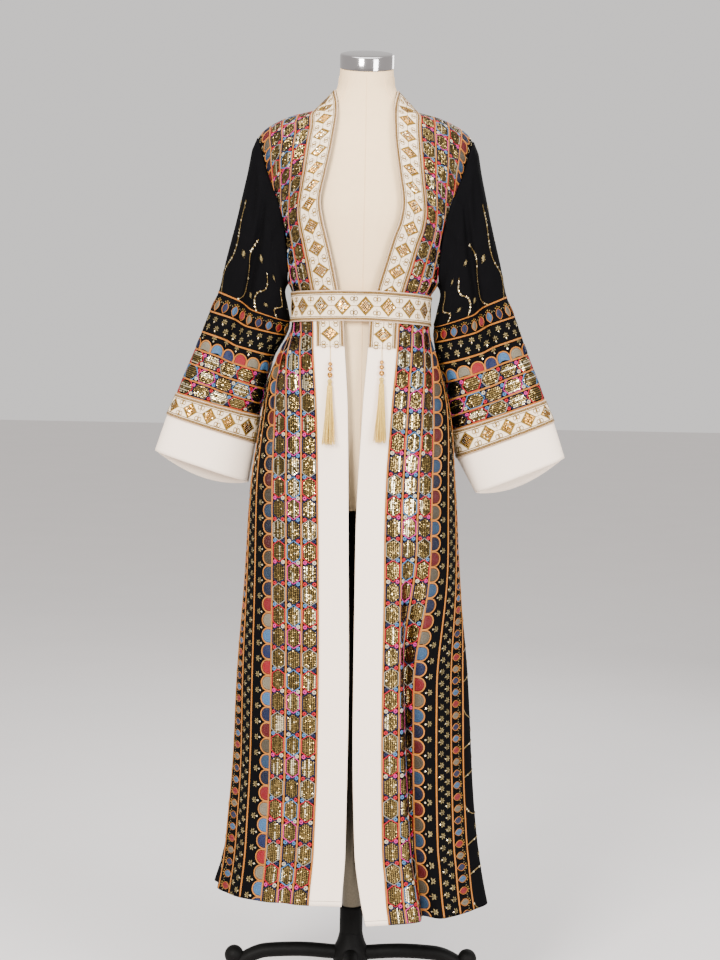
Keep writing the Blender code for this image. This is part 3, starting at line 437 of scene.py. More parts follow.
# Soft creases on each panel on top of the main folds, as troughs:
# place at the top, place at the foot, top height, foot height, depth, width
CREASES = {
    "right": ((0.074, 0.086, 1.222, 0.960, 0.0030, 0.010), (0.128, 0.150, 1.225, 0.900, 0.0048, 0.011),
        (0.165, 0.205, 1.222, 1.040, 0.0036, 0.012), (0.020, 0.028, 1.150, 0.420, 0.0022, 0.015),
        (0.205, 0.262, 0.960, 0.380, 0.0045, 0.022), (0.300, 0.330, 0.700, 0.200, 0.0060, 0.026),
        (0.112, 0.098, 1.420, 1.282, 0.0032, 0.012), (0.150, 0.120, 1.400, 1.285, 0.0040, 0.010),
        (0.178, 0.150, 1.370, 1.290, 0.0026, 0.009), (0.120, 0.135, 1.560, 1.440, 0.0020, 0.016)),
    "left": ((0.082, 0.096, 1.222, 0.860, 0.0034, 0.012), (0.140, 0.168, 1.225, 0.980, 0.0046, 0.012),
        (0.176, 0.226, 1.220, 0.860, 0.0040, 0.015), (0.022, 0.030, 1.000, 0.300, 0.0026, 0.016),
        (0.205, 0.235, 0.860, 0.250, 0.0055, 0.024), (0.150, 0.160, 0.760, 0.300, 0.0026, 0.018),
        (0.100, 0.092, 1.430, 1.282, 0.0034, 0.012), (0.140, 0.116, 1.400, 1.285, 0.0042, 0.011),
        (0.172, 0.148, 1.360, 1.290, 0.0028, 0.009), (0.118, 0.132, 1.570, 1.450, 0.0022, 0.015)),
    "back": ((0.080, 0.100, 1.220, 0.780, 0.0050, 0.014), (0.128, 0.165, 1.222, 0.640, 0.0070, 0.017),
        (0.190, 0.225, 1.222, 0.820, 0.0055, 0.015), (0.245, 0.300, 1.218, 0.560, 0.0065, 0.018),
        (0.070, 0.095, 1.420, 1.284, 0.0030, 0.013), (0.130, 0.140, 1.450, 1.286, 0.0036, 0.014),
        (0.205, 0.190, 1.440, 1.286, 0.0034, 0.014), (0.262, 0.240, 1.410, 1.284, 0.0032, 0.012),
        (0.350, 0.420, 0.760, 0.250, 0.0060, 0.024)),
    "sleeve": ((0.060, 0.085, 1.500, 1.330, 0.0036, 0.013), (0.120, 0.105, 1.470, 1.300, 0.0050, 0.014),
        (0.205, 0.160, 1.440, 1.270, 0.0042, 0.012), (0.095, 0.125, 1.240, 1.020, 0.0034, 0.018),
        (0.170, 0.190, 1.200, 1.000, 0.0030, 0.016), (0.300, 0.290, 1.460, 1.220, 0.0046, 0.016),
        (0.360, 0.345, 1.400, 1.100, 0.0050, 0.018)),
}


def crease(panel, across, height):
    """How far a panel's creases push its points out, at a length across it and a height."""
    push = np.zeros(np.broadcast(across, height).shape)
    for first, last, top, foot, depth, width in CREASES.get(panel, ()):
        share = np.clip((top - height) / (top - foot), 0.0, 1.0)
        line = first + (last - first) * share
        fade = np.sin(np.pi * np.sqrt(share)) ** 2 if foot > 0.5 else np.sin(np.pi * share / 2) ** 2
        push -= depth * fade * np.exp(-(((across - line) / width) ** 2))
    return push


class Surface:
    """A panel's outer side as a fine grid, found by the length across it and the length down it."""

    def __init__(self, panel, rows, step, down, reach, centres, closed=False, mirror=1.0):
        self.panel = panel
        self.closed = closed
        self.step = step
        self.down = down
        self.reach = reach
        normals = grid_normals(rows, centres, closed)
        lengths = step * np.arange(rows.shape[1])[None, :]
        if closed:
            lengths = lengths * reach[:, None]
        push = crease(panel, lengths, rows[:, :, 2])
        rows = rows + normals * push[:, :, None]
        normals = grid_normals(rows, centres, closed)
        self.grid = rows * (mirror, 1.0, 1.0)
        self.normals = normals * (mirror, 1.0, 1.0)
        middle = (len(rows) // 2, rows.shape[1] // 4)
        sideways = self.grid[middle[0], middle[1] + 1] - self.grid[middle]
        downwards = self.grid[middle[0] + 1, middle[1]] - self.grid[middle]
        self.turned = float(np.dot(np.cross(sideways, downwards), self.normals[middle])) < 0

    def at(self, across, down, lift=0.0):
        """Points at lengths across and down, at a lift from the cloth."""
        row = np.interp(down, self.down, np.arange(len(self.down)))
        column = np.asarray(across, float) / self.step
        i = np.clip(row.astype(int), 0, len(self.down) - 2)
        j = np.floor(column).astype(int)
        count = self.grid.shape[1]
        if not self.closed:
            j = np.clip(j, 0, count - 2)
        f, g = (row - i)[..., None], (column - j)[..., None]
        j, k = j % count, (j + 1) % count
        weights = ((1 - f) * (1 - g), (1 - f) * g, f * (1 - g), f * g)
        corners = ((i, j), (i, k), (i + 1, j), (i + 1, k))
        points = sum(weight * self.grid[corner] for weight, corner in zip(weights, corners))
        normals = sum(weight * self.normals[corner] for weight, corner in zip(weights, corners))
        return points + normals * np.asarray(lift, float)[..., None]

    def reach_at(self, down):
        """Width of the cloth at a length down."""
        return np.interp(down, self.down, self.reach)

    def down_from(self, length, column):
        """Length down that belongs to a length measured along a column."""
        return np.interp(length, arc_lengths(self.grid[:, column]), self.down)

    def length_at(self, height, column):
        """Length measured along a column at which it reaches a height."""
        return float(np.interp(-height, -self.grid[:, column, 2], arc_lengths(self.grid[:, column])))

    def down_at(self, height, column=0):
        """Length down at which a column reaches a height."""
        return float(np.interp(-height, -self.grid[:, column, 2], self.down))


def fine_rows(keys, spacing):
    """Add rows between key rows, so that none lies further than the spacing from the next."""
    rows = [np.array(keys[0], float)]
    for last, this in zip(keys, keys[1:]):
        last, this = np.array(last, float), np.array(this, float)
        count = max(1, math.ceil(np.abs(this - last)[:2].max() / spacing))
        rows += [last + (this - last) * i / count for i in range(1, count + 1)]
    return rows


def spaced(points, step, columns):
    """Points of a row at even lengths, running straight on past its end; also the row's length."""
    places = step * np.arange(columns)
    row, reach = points_at(places, points)
    ahead = unit(points[-1] - points[-4])
    return row + ahead * np.maximum(places - reach, 0.0)[:, None], reach


def axis_points(rows):
    """Points of the middle axis at each row's mean height."""
    centres = np.zeros((len(rows), 3))
    centres[:, 2] = rows[:, :, 2].mean(axis=1)
    return centres


def panel_surface(panel, rows, columns, measured):
    """Surface of an open panel from its rows of points, its length down measured along one column."""
    laid = [spaced(points, COLUMN_SPACING, columns) for points in rows]
    grid = np.array([line for line, reach in laid])
    down = arc_lengths(np.array([line[measured(reach)] for line, reach in laid]))
    reaches = np.array([reach for line, reach in laid])
    return Surface(panel, grid, COLUMN_SPACING, down, reaches, axis_points(grid))


def front_surface(side, columns=190):
    """Outer side of a front, measured from its edge."""
    drop = BELT_SIDE_DROP[side]
    keys = [*BODICE_ROWS, (BELT_TOP, BELT_TOP - drop), (BELT_FOOT, BELT_FOOT - drop),
            (HEM_EDGE[side], HEM_SIDE[side])]
    rows = []
    for edge_height, outer_height in fine_rows(keys, ROW_SPACING):
        steps = shares(FRONT_POINTS)
        edge = edge_turn(edge_height, side)
        turn = edge + (armhole_turn(outer_height) - edge) * steps
        points = body_point(edge_height + (outer_height - edge_height) * steps, turn, side)
        share = (BELT_FOOT - edge_height) / (BELT_FOOT - HEM_EDGE[side])
        rows.append(folded(points, WORDS[side], share) if share > 0 else points)
    return panel_surface(WORDS[side], rows, columns, lambda reach: MEASURED_COLUMN)


def meet_front(points, front, side, share):
    """Draw the end of a row of the back onto the front's edge at the side seam."""
    end = 0 if side < 0 else -1
    down = front.down_at(BELT_FOOT + (HEM_EDGE[side] - BELT_FOOT) * share)
    shift = (front.at(front.reach_at(down), down) - points[end]) * (1.0, 1.0, 0.0)
    lengths = arc_lengths(points)
    return points + shift * ease(np.abs(lengths - lengths[end]), SEAM_BLEND, 0.0)[:, None]


def back_surface(fronts, columns=240):
    """Outer side of the back, measured from its left boundary."""
    keys = [(height, height) for height in BACK_YOKE_HEIGHTS] + [(outer, outer) for _, outer in BODICE_ROWS]
    keys += [(height - BELT_SIDE_DROP[-1], height - BELT_SIDE_DROP[1]) for height in (BELT_TOP, BELT_FOOT)]
    keys += [(HEM_SIDE[-1], HEM_SIDE[1])]
    foot = BELT_FOOT - BELT_SIDE_DROP[-1]
    rows = []
    for left, right in fine_rows(keys, ROW_SPACING):
        steps = np.linspace(-1.0, 1.0, BACK_POINTS)
        drop = BACK_NECK_DROP * ease(left, SHOULDER_TIP, BACK_TRIM_FOOT)
        level = left + (right - left) * (steps + 1) / 2 - drop * (1 - steps**2)
        turn = math.pi - armhole_turn(left) * np.abs(steps)
        points = body_point(level, turn, np.where(steps < 0, -1.0, 1.0))
        share = (foot - left) / (foot - HEM_SIDE[-1])
        if share > 0:
            points = folded(points, "back", share)
            for side, front in fronts.items():
                points = meet_front(points, front, side, share)
        rows.append(points)
    return panel_surface("back", rows, columns, lambda reach: int(reach / COLUMN_SPACING / 2))


def sleeve_ring(values, places, back_drop=0.0):
    """Ring of the right sleeve: from the outer edge over the front to the inner edge, and back behind."""
    outer_x, outer_z, inner_x, inner_z, middle_y, half_depth, fold = values
    depth = half_depth * (1 - np.abs(1 - 2 * places) ** SLEEVE_POWER) ** (1 / SLEEVE_POWER)
    x = outer_x + (inner_x - outer_x) * places
    z = outer_z + (inner_z - outer_z) * places
    off_fold = (places - SLEEVE_FOLD_PLACE) / SLEEVE_FOLD_WIDTH
    trough = fold * SLEEVE_FOLD_DEPTH * np.exp(-off_fold**2)
    drop = fold * SLEEVE_FOLD_DROP * (0.5 + 0.5 * np.tanh(off_fold)) * (1 - places) ** 0.5
    front = side_by_side(x, middle_y - depth + trough, z - drop)
    behind = side_by_side(x, middle_y + depth, z - back_drop * np.sin(np.pi * places) ** 0.7)
    return np.concatenate((front, behind[-2:0:-1]))


def armhole_ring(heights):
    """The armhole's edge on the right of the body, in the sleeve's order."""
    turns = np.array([armhole_turn(height) for height in heights])
    front = body_point(heights, turns, 1.0)
    behind = body_point(heights, math.pi - turns, 1.0)
    ring = np.concatenate((front, behind[-2:0:-1]))
    ring[:, 0] += HALF_SEAM * 2 + TIP_EASE * ease(ring[:, 2], TIP_EASE_START, SHOULDER_TIP)
    return ring


def even_ring(ring, count):
    """Points at even lengths round a closed ring, from its first point."""
    loop = np.concatenate((ring, ring[:1]))
    return points_at(arc_lengths(loop)[-1] * np.arange(count) / count, loop)


def ring_stack(rings, count, mirror, panel):
    """Closed surface through rings; its length across is a share of the way round."""
    laid = [even_ring(ring, count) for ring in rings]
    rows = np.array([row for row, reach in laid])
    reaches = np.array([reach for row, reach in laid])
    down = arc_lengths(rows[:, 0])
    return Surface(panel, rows, 1.0 / count, down, reaches, rows.mean(axis=1), True, mirror)


def sleeve_rings(side):
    """Rings of a sleeve: outer x and height, inner x and height, middle, half depth and fold."""
    both = zip(SLEEVE_RINGS, SLEEVE_INNER[side])
    return np.array([(*ring[:2], *inner, *ring[2:]) for ring, inner in both])


def sleeve_surface(side):
    """Outer side of a sleeve, down to the wrist; its length down is 0 at the top of the cuff's trim."""
    last = len(BODICE_ROWS) - 1
    steps = np.linspace(0.0, last, HALF_RING_POINTS)
    heights = np.interp(steps, range(last + 1), [outer for _, outer in BODICE_ROWS])
    seam = (SHOULDER_TIP - heights) / (SHOULDER_TIP - UNDERARM)
    even = (1 - np.cos(np.pi * steps / last)) / 2
    *table, _ = sleeve_rings(side)
    curves = [smooth(range(1, len(table) + 1), column) for column in zip(*table)]

    def ring(place):
        places = seam + (even - seam) * min(place / EVEN_RING, 1.0)
        return sleeve_ring([curve(place) for curve in curves], places)

    start = armhole_ring(heights)
    first = ring(1.0)
    rings = [start + (first - start) * share for share in (0.0, 0.2, 0.4, 0.6, 0.8)]
    rings += [ring(place) for place in np.linspace(1.0, len(table), SLEEVE_ROWS)]
    surface = ring_stack(rings, RING_POINTS, side, "sleeve")
    surface.down -= surface.down_at(table[-2][1])
    return surface


def cuff_surface(side):
    """Outer side of a cuff, from the wrist to its open end."""
    places = (1 - np.cos(np.pi * shares(HALF_RING_POINTS))) / 2
    wrist, end = sleeve_rings(side)[-2:]
    rings = []
    for share in np.linspace(0.006, 1.0, 14):
        drop = CUFF_BACK_DROP * (share / 1.5 if share < 0.5 else (share * 4 - 1) / 3)
        rings.append(sleeve_ring(wrist + (end - wrist) * share, places, drop))
    return ring_stack(rings, RING_POINTS, side, "cuff")


def belt_surface(right, left, back, points=200):
    """Outer side of the cloth under the belt, from the middle of the open front, which it closes."""
    cover = GAP + BAND + GAP + TRIM + 2 * GAP
    along = shares(points)
    # surface, its drop at the left, its direction, and how far each point lies over the trim
    spans = ((right, 0.0, 1, ease(along, 1.0, 1.0 - BELT_RISE)),
             (back, BELT_SIDE_DROP[-1], -1, np.zeros(points)),
             (left, 0.0, -1, ease(along, 0.0, BELT_RISE)))
    rings = []
    for share in shares(9):
        lines = []
        for surface, drop, direction, fade in spans:
            down = surface.down_at(BELT_TOP + (BELT_FOOT - BELT_TOP) * share - drop)
            across = np.linspace(0.0, surface.reach_at(down), points)
            line = surface.at(across, np.full(points, down))[::direction]
            outward = unit(line * (1.0, 1.0, 0.0))
            lines.append(line + outward * (BELT_EASE + (cover - BELT_EASE) * fade)[:, None])
        middle = (lines[0][0] + lines[2][-1]) / 2 - (0.0, BELT_BULGE, 0.0)
        ring = even_ring(np.concatenate((middle[None], *lines)), BELT_POINTS)[0]
        for _ in range(6):
            ring = (np.roll(ring, 1, axis=0) + 2 * ring + np.roll(ring, -1, axis=0)) / 4
        rings.append(ring)
    return ring_stack(rings, BELT_POINTS, 1.0, "belt")


def between(operation, swapped=False):
    """Operator between two values, which adds one Math node."""
    def method(self, other):
        return self.maths(operation, *((other, self) if swapped else (self, other)))
    return method


class Socket:
    """A value in a material's nodes that adds up like a number."""

    __add__ = between("ADD")
    __sub__ = between("SUBTRACT")
    __mul__ = between("MULTIPLY")
    __radd__ = between("ADD", True)
    __rsub__ = between("SUBTRACT", True)
    __rmul__ = between("MULTIPLY", True)

    def __init__(self, nodes, link):
        self.nodes = nodes
        self.link = link

    def maths(self, operation, first, second=0.0):
        """Math node on two values."""
        return self.nodes.add("ShaderNodeMath", {"operation": operation}, {0: first, 1: second})

    def wave(self):
        """Smooth ripple from 0 to 1, once for each unit."""
        return self.maths("SINE", self * (2 * math.pi)) * 0.5 + 0.5


class Finish:
    """A procedural material, built node by node around one Principled shader."""

    def __init__(self, name, colour, roughness, metallic=0.0, specular=0.5):
        self.material = bpy.data.materials.new(name)
        self.material.use_nodes = True
        self.tree = self.material.node_tree
        self.shader = self.tree.nodes["Principled BSDF"]
        self.set("Base Color", (*colour, 1.0))
        self.set("Roughness", roughness)
        self.set("Metallic", metallic)
        self.set("Specular IOR Level", specular)

    def join(self, socket, value):
        """Link a socket, or set its own value."""
        if isinstance(value, Socket):
            self.tree.links.new(value.link, socket)
        else:
            socket.default_value = value

    def set(self, socket, value):
        """Set or link one of the shader's sockets."""
        self.join(self.shader.inputs[socket], value)

    def add(self, kind, settings, sockets, output=0):
        """Add a node with its settings and the values or links of its sockets."""
        node = self.tree.nodes.new(kind)
        for key, value in settings.items():
            setattr(node, key, value)
        for key, value in sockets.items():
            self.join(node.inputs[key], value)
        return Socket(self, node.outputs[output])

    def along(self, axis):
        """Length on the cloth or thread, from the piece's own UV map."""
        place = self.add("ShaderNodeTexCoord", {}, {}, "UV")
        return self.add("ShaderNodeSeparateXYZ", {}, {0: place}, axis)

    def noise(self, scale, detail=2.0, roughness=0.5):
        """Soft noise from 0 to 1."""
        place = self.add("ShaderNodeTexCoord", {}, {}, "Object")
        return self.add("ShaderNodeTexNoise", {}, {"Vector": place, "Scale": scale, "Detail": detail,
                                                   "Roughness": roughness}, "Fac")

    def paint(self, colour, share):
        """Multiply a colour, or the threads' own stored colours, by a value."""
        if colour is None:
            colour = self.add("ShaderNodeAttribute", {"attribute_name": "thread"}, {}, "Color")
        else:
            colour = (*colour, 1.0)
        grey = self.add("ShaderNodeCombineColor", {}, {0: share, 1: share, 2: share})
        self.set("Base Color", self.add("ShaderNodeMix", {"data_type": "RGBA", "blend_type": "MULTIPLY"},
                                        {0: 1.0, 6: colour, 7: grey}, 2))

    def relief(self, height, distance, strength):
        """Bump from a height of 0 to 1."""
        self.set("Normal", self.add("ShaderNodeBump", {}, {"Strength": strength, "Distance": distance,
                                                           "Height": height}))


def crepe_cloth():
    """Matt black crepe with a fine pebbled face."""
    cloth = Finish("black crepe", (0.002, 0.002, 0.0024), 0.9, specular=0.04)
    grain = cloth.noise(1500.0, 3.0, 0.6)
    cloth.paint((0.0020, 0.0019, 0.0023), 0.55 + grain * 0.9)
    cloth.set("Roughness", 0.78 + cloth.noise(60.0) * 0.2)
    cloth.relief(grain + cloth.noise(420.0) * 0.6, 0.0003, 0.6)
    return cloth.material


def cream_cloth():
    """Plain cream crepe of the bands and cuffs."""
    cloth = Finish("cream crepe", (0.84, 0.76, 0.70), 0.8, specular=0.2)
    grain = cloth.noise(1300.0, 3.0, 0.6)
    cloth.paint((0.97, 0.80, 0.650), 0.94 + grain * 0.06 + cloth.noise(9.0, 3.0) * 0.04)
    cloth.relief(grain + cloth.noise(350.0) * 0.5, 0.00022, 0.5)
    return cloth.material


def ribbon_cloth():
    """Cream satin ribbon that carries the diamonds."""
    cloth = Finish("diamond trim ribbon", (0.84, 0.75, 0.64), 0.6, specular=0.25)
    ribs = (cloth.along(0) * 900.0).wave() * 0.5 + (cloth.along(1) * 1150.0).wave() * 0.5
    cloth.paint((0.87, 0.69, 0.485), 0.86 + ribs * 0.08 + cloth.noise(160.0, 3.0) * 0.12)
    cloth.relief(ribs, 0.00025, 0.6)
    return cloth.material


def silk():
    """Embroidery silk; the piece stores each thread's colour, and its UV map runs along the thread."""
    thread = Finish("embroidery silk", (0.5, 0.3, 0.2), 0.45, specular=0.25)
    strand = (thread.along(0) * 1100.0 + thread.along(1) * 1.6).wave()
    cloud = thread.noise(240.0)
    thread.paint(None, 0.62 + strand * 0.30 + cloud * 0.30)
    thread.set("Roughness", 0.36 + cloud * 0.2)
    thread.relief(strand, 0.00035, 0.8)
    return thread.material


def chain_fill():
    """Glossy coloured chain stitch that fills the scallops and ovals."""
    thread = Finish("chain stitch", (0.5, 0.1, 0.1), 0.34, specular=0.25)
    speck = thread.noise(620.0, 3.0, 0.75)
    ribs = (thread.along(0) * 620.0).wave()
    thread.paint(None, 0.35 + speck * 1.1 + ribs * 0.22)
    thread.set("Roughness", 0.22 + thread.noise(300.0) * 0.3)
    thread.relief(ribs * 0.6 + speck, 0.0006, 0.9)
    return thread.material


def gold_thread():
    """Metallic gold thread, with painted highlight flecks in its colour."""
    thread = Finish("gold lurex thread", (0.7, 0.5, 0.25), 0.40, 0.25, specular=0.35)
    strand = (thread.along(0) * 900.0 + thread.along(1) * 1.5).wave()
    # Noise that paints bright highlight flecks into the thread's colour; the same noise also sets its
    # roughness and relief
    painted_glint_noise = thread.noise(900.0, 2.0, 0.8)
    thread.paint(None, 0.55 + strand * 0.35 + painted_glint_noise * 0.45)
    thread.set("Roughness", 0.22 + painted_glint_noise * 0.32)
    thread.relief(strand + painted_glint_noise, 0.0004, 0.9)
    return thread.material


def sequin_foil():
    """Gold foil of the sequins, each with its own shade; some carry a painted highlight colour."""
    foil = Finish("gold sequins", (0.6, 0.5, 0.3), 0.16, 1.0)
    wear = foil.noise(420.0, 2.0, 0.6)
    foil.paint(None, 0.72 + wear * 0.5)
    foil.set("Roughness", 0.10 + wear * 0.22)
    return foil.material


def tassel_silk():
    """Pale gold silk strands of the tassels and their cords."""
    thread = Finish("tassel silk", (0.80, 0.56, 0.20), 0.38, 0.3)
    strand = (thread.along(0) * 700.0 + thread.along(1) * 3.0).wave()
    thread.paint((0.88, 0.59, 0.13), 0.36 + strand * 0.62 + thread.noise(420.0) * 0.40)
    thread.relief(strand, 0.0004, 0.8)
    return thread.material


def bead_gold():
    """Polished gold-coloured beads with a worn shine."""
    gold = Finish("gold bead", (0.60, 0.33, 0.09), 0.2, 1.0)
    wear = gold.noise(500.0, 3.0)
    gold.set("Roughness", 0.10 + wear * 0.22)
    gold.paint((0.46, 0.22, 0.045), 0.7 + wear * 0.5)
    return gold.material


def linen_cover():
    """Beige linen over the dress form, in a plain weave."""
    cloth = Finish("beige linen", (0.80, 0.66, 0.48), 0.85, specular=0.2)
    slub = cloth.noise(90.0, 3.0)
    warp = (cloth.along(0) * 1000.0 + slub * 1.2).wave()
    weft = (cloth.along(1) * 1000.0 + slub * 1.4).wave()
    weave = warp * 0.5 + weft * 0.5
    cloth.paint((0.88, 0.635, 0.370), 0.85 + weave * 0.10 + slub * 0.08 + cloth.noise(14.0, 3.0) * 0.07)
    cloth.relief(weave, 0.0003, 0.5)
    return cloth.material


def chrome_plate():
    """Bright chrome with faint swirls and fingerprints."""
    metal = Finish("chrome", (0.42, 0.40, 0.40), 0.08, 1.0)
    swirl = metal.noise(55.0, 4.0, 0.6)
    metal.set("Roughness", 0.05 + swirl * 0.14)
    metal.relief(swirl, 0.0004, 0.25)
    return metal.material


def bronzed_tube():
    """Dark bronzed steel tube with a brushed length."""
    metal = Finish("bronzed tube", (0.10, 0.085, 0.06), 0.35, 0.85)
    streak = metal.noise(320.0, 3.0)
    metal.paint((0.105, 0.088, 0.062), 0.7 + streak * 0.6)
    metal.set("Roughness", 0.26 + streak * 0.2)
    return metal.material


def cast_iron():
    """Black enamel over rough cast iron, worn paler in patches."""
    metal = Finish("cast iron", (0.003, 0.003, 0.003), 0.55, specular=0.08)
    lumps = metal.noise(95.0, 4.0, 0.6)
    metal.paint((0.0035, 0.0033, 0.0031), 0.6 + lumps * 0.9)
    metal.set("Roughness", 0.46 + lumps * 0.22)
    metal.relief(lumps, 0.0012, 0.6)
    return metal.material


def floor_paint():
    """Plain pale floor."""
    paint = Finish("pale studio paper", (0.74, 0.71, 0.70), 0.9)
    paint.paint((0.75, 0.72, 0.71), 0.97 + paint.noise(3.0) * 0.05)
    return paint.material


def add_mesh(name, points, faces, material, uv=None, colours=None, sharp=40.0):
    """Make a piece from points and faces, with the UV map and thread colours of its points."""
    mesh = bpy.data.meshes.new(name)
    mesh.from_pydata(np.asarray(points, float).tolist(), [], faces)
    if uv is not None:
        corners = np.zeros(len(mesh.loops), int)
        mesh.loops.foreach_get("vertex_index", corners)
        layer = mesh.uv_layers.new(name="UVMap")
        layer.data.foreach_set("uv", np.asarray(uv, np.float32)[corners].ravel())
    if colours is not None:
        layer = mesh.color_attributes.new("thread", "FLOAT_COLOR", "POINT")
        solid = np.ones((len(mesh.vertices), 4), np.float32)
        solid[:, :3] = colours
        layer.data.foreach_set("color", solid.ravel())
    mesh.materials.append(material)
    mesh.shade_smooth()
    mesh.set_sharp_from_angle(angle=math.radians(sharp))
    piece = bpy.data.objects.new(name, mesh)
    bpy.context.scene.collection.objects.link(piece)
    return piece


def seat(piece, slot, *nodes):
    """Let a piece ride on the part's only body, and hide the nodes of model.glb that it stands for; slot is
    not used.
    """
    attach(piece, "root")
    if nodes:
        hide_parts(*nodes)
    return piece


def solid(name, shape, material, slot, *nodes):
    """Make a piece from a shape's points, faces and UVs, and seat it."""
    points, faces, uv = shape
    faces = [np.asarray(face).tolist() for face in faces]
    return seat(add_mesh(name, points, faces, material, uv), slot, *nodes)


def grid_faces(rows, columns, turned=False):
    """Squares between the rows of an open grid."""
    corners = np.arange(rows * columns).reshape(rows, columns)
    faces = squares(corners[:-1], corners[1:])[:, :-1].reshape(-1, 4)
    return (faces[:, ::-1] if turned else faces).tolist()


def tube_faces(rows, sides):
    """Squares round a tube's rings, and a face on each of its ends."""
    corners = np.arange(rows * sides).reshape(rows, sides)
    faces = squares(corners[:-1], corners[1:]).reshape(-1, 4)
    return [*faces.tolist(), corners[0, ::-1].tolist(), corners[-1].tolist()]


def shell(name, surface, across, down, lift, thickness, material):
    """Lay a sheet of cloth on a surface, and thicken it inwards."""
    down = np.broadcast_to(down[:, None], across.shape)
    points = surface.at(across, down, np.broadcast_to(lift, across.shape))
    width = surface.reach_at(down) if surface.closed else 1.0
    uv = side_by_side(across * width, down).reshape(-1, 2)
    faces = grid_faces(*across.shape, surface.turned)
    piece = add_mesh(name, points.reshape(-1, 3), faces, material, uv)
    wall = piece.modifiers.new("cloth thickness", "SOLIDIFY")
    wall.thickness = thickness
    wall.offset = -1.0
    return piece


def keep_clear(piece, side):
    """Keep a panel's edge on its own side of the side seam."""
    for vertex in piece.data.vertices:
        if side * vertex.co.y < HALF_SEAM:
            vertex.co.y = side * HALF_SEAM


def tube(route, radius, sides=8, taper=None):
    """Round tube along a route: points, faces and UVs; taper gives the radius' share at each point."""
    route = np.asarray(route, float)
    heading = unit(np.gradient(route, axis=0))
    helper = np.array((0.0, 1.0, 0.0)) if abs(heading[0][1]) < 0.9 else np.array((1.0, 0.0, 0.0))
    first = unit(np.cross(heading, helper))
    second = np.cross(heading, first)
    angles = angles_round(sides)
    reach = radius * (np.ones(len(route)) if taper is None else np.asarray(taper))
    ring = first[:, None] * np.cos(angles)[:, None] + second[:, None] * np.sin(angles)[:, None]
    points = route[:, None] + ring * reach[:, None, None]
    uv = side_by_side(arc_lengths(route)[:, None], np.arange(sides) / sides).reshape(-1, 2)
    return points.reshape(-1, 3), tube_faces(len(route), sides), uv


def lathe(profile, sides, centre=(0.0, 0.0, 0.0)):
    """Turned solid through a profile of radius and height, bottom first: points, faces and UVs."""
    profile = np.array(profile, float)
    angles = angles_round(sides)
    radii, heights = profile[:, :1], profile[:, 1:]
    points = side_by_side(radii * np.cos(angles), radii * np.sin(angles), heights) + centre
    uv = side_by_side(angles * 0.02, points[..., 2])
    return points.reshape(-1, 3), tube_faces(len(profile), sides), uv.reshape(-1, 2)


def combined(*parts):
    """Several shapes as one."""
    points, faces, uv = [], [], []
    count = 0
    for part_points, part_faces, part_uv in parts:
        points.append(part_points)
        faces += [np.add(face, count) for face in part_faces]
        uv.append(part_uv)
        count += len(part_points)
    return np.concatenate(points), faces, np.concatenate(uv)


def add_camera():
    """Stand the camera where the photograph was taken from: level, with its picture shifted down."""
    data = bpy.data.cameras.new("camera")
    data.sensor_fit = "VERTICAL"
    data.sensor_height = SENSOR
    data.lens = LENS
    camera = bpy.data.objects.new("camera", data)
    camera.location = (CAMERA_SIDE, -CAMERA_DISTANCE, CAMERA_HEIGHT)
    data.shift_y = (CAMERA_AIM - CAMERA_HEIGHT) / CAMERA_DISTANCE * LENS / SENSOR
    aim = Euler((math.pi / 2, 0.0, 0.0)).to_matrix()
    roll = Euler((0.0, 0.0, math.radians(CAMERA_ROLL))).to_matrix()
    camera.rotation_euler = (aim @ roll).to_euler()
    bpy.context.scene.collection.objects.link(camera)
    bpy.context.scene.camera = camera


def add_light(name, place, aim, size, power, colour=(1.0, 1.0, 1.0)):
    """Add one soft box that faces a point."""
    data = bpy.data.lights.new(name, "AREA")
    data.shape = "RECTANGLE"
    data.size, data.size_y = size
    data.energy = power
    data.color = colour
    light = bpy.data.objects.new(name, data)
    light.location = place
    light.rotation_euler = (Vector(aim) - Vector(place)).to_track_quat("-Z", "Y").to_euler()
    bpy.context.scene.collection.objects.link(light)


def add_studio():
    """Set up the soft boxes, a pale world and the floor."""
    add_light("key box", (-1.5, -3.6, 2.5), (0.0, 0.0, 1.05), (1.1, 1.4), 330.0, (1.0, 0.975, 0.94))
    add_light("fill box", (2.3, -2.9, 1.7), (0.0, 0.0, 1.0), (1.2, 1.8), 150.0, (0.98, 0.985, 1.0))
    add_light("top box", (0.0, -0.6, 3.4), (0.0, 0.0, 1.0), (2.2, 1.6), 75.0)
    add_light("back box", (1.4, 2.6, 2.4), (0.0, 0.0, 1.1), (1.4, 1.4), 38.0)
    world = bpy.data.worlds.new("studio")
    world.use_nodes = True
    world.node_tree.nodes["Background"].inputs[0].default_value = (0.95, 0.92, 0.90, 1.0)
    world.node_tree.nodes["Background"].inputs[1].default_value = 0.95
    bpy.context.scene.world = world
    ends = (-FLOOR_REACH, FLOOR_REACH)
    points = [(x, y, 0.0) for y in ends for x in ends]
    floor = add_mesh("floor", points, grid_faces(2, 2), floor_paint())


def pendant_point(surface, side, height, lift):
    """Point in front of the band, plumb below the middle of the trim's tail, at a lift from the front."""
    column = int(round(TRIM_WIDTH / 2 / surface.step))
    plumb = surface.at(TRIM_WIDTH / 2, surface.down_at(tail_height(side), column))[0]
    line = surface.at(np.linspace(0.0, 0.12, 200), np.full(200, surface.down_at(height, column)))
    order = np.argsort(line[:, 0])
    deep = np.interp(plumb, line[order, 0], line[order, 1])
    return np.array((plumb, deep - lift, height))


def tail_height(side):
    """Height of the foot of the trim's tail."""
    return BELT_FOOT + (HEM_EDGE[side] - BELT_FOOT) * TAIL_SHARE


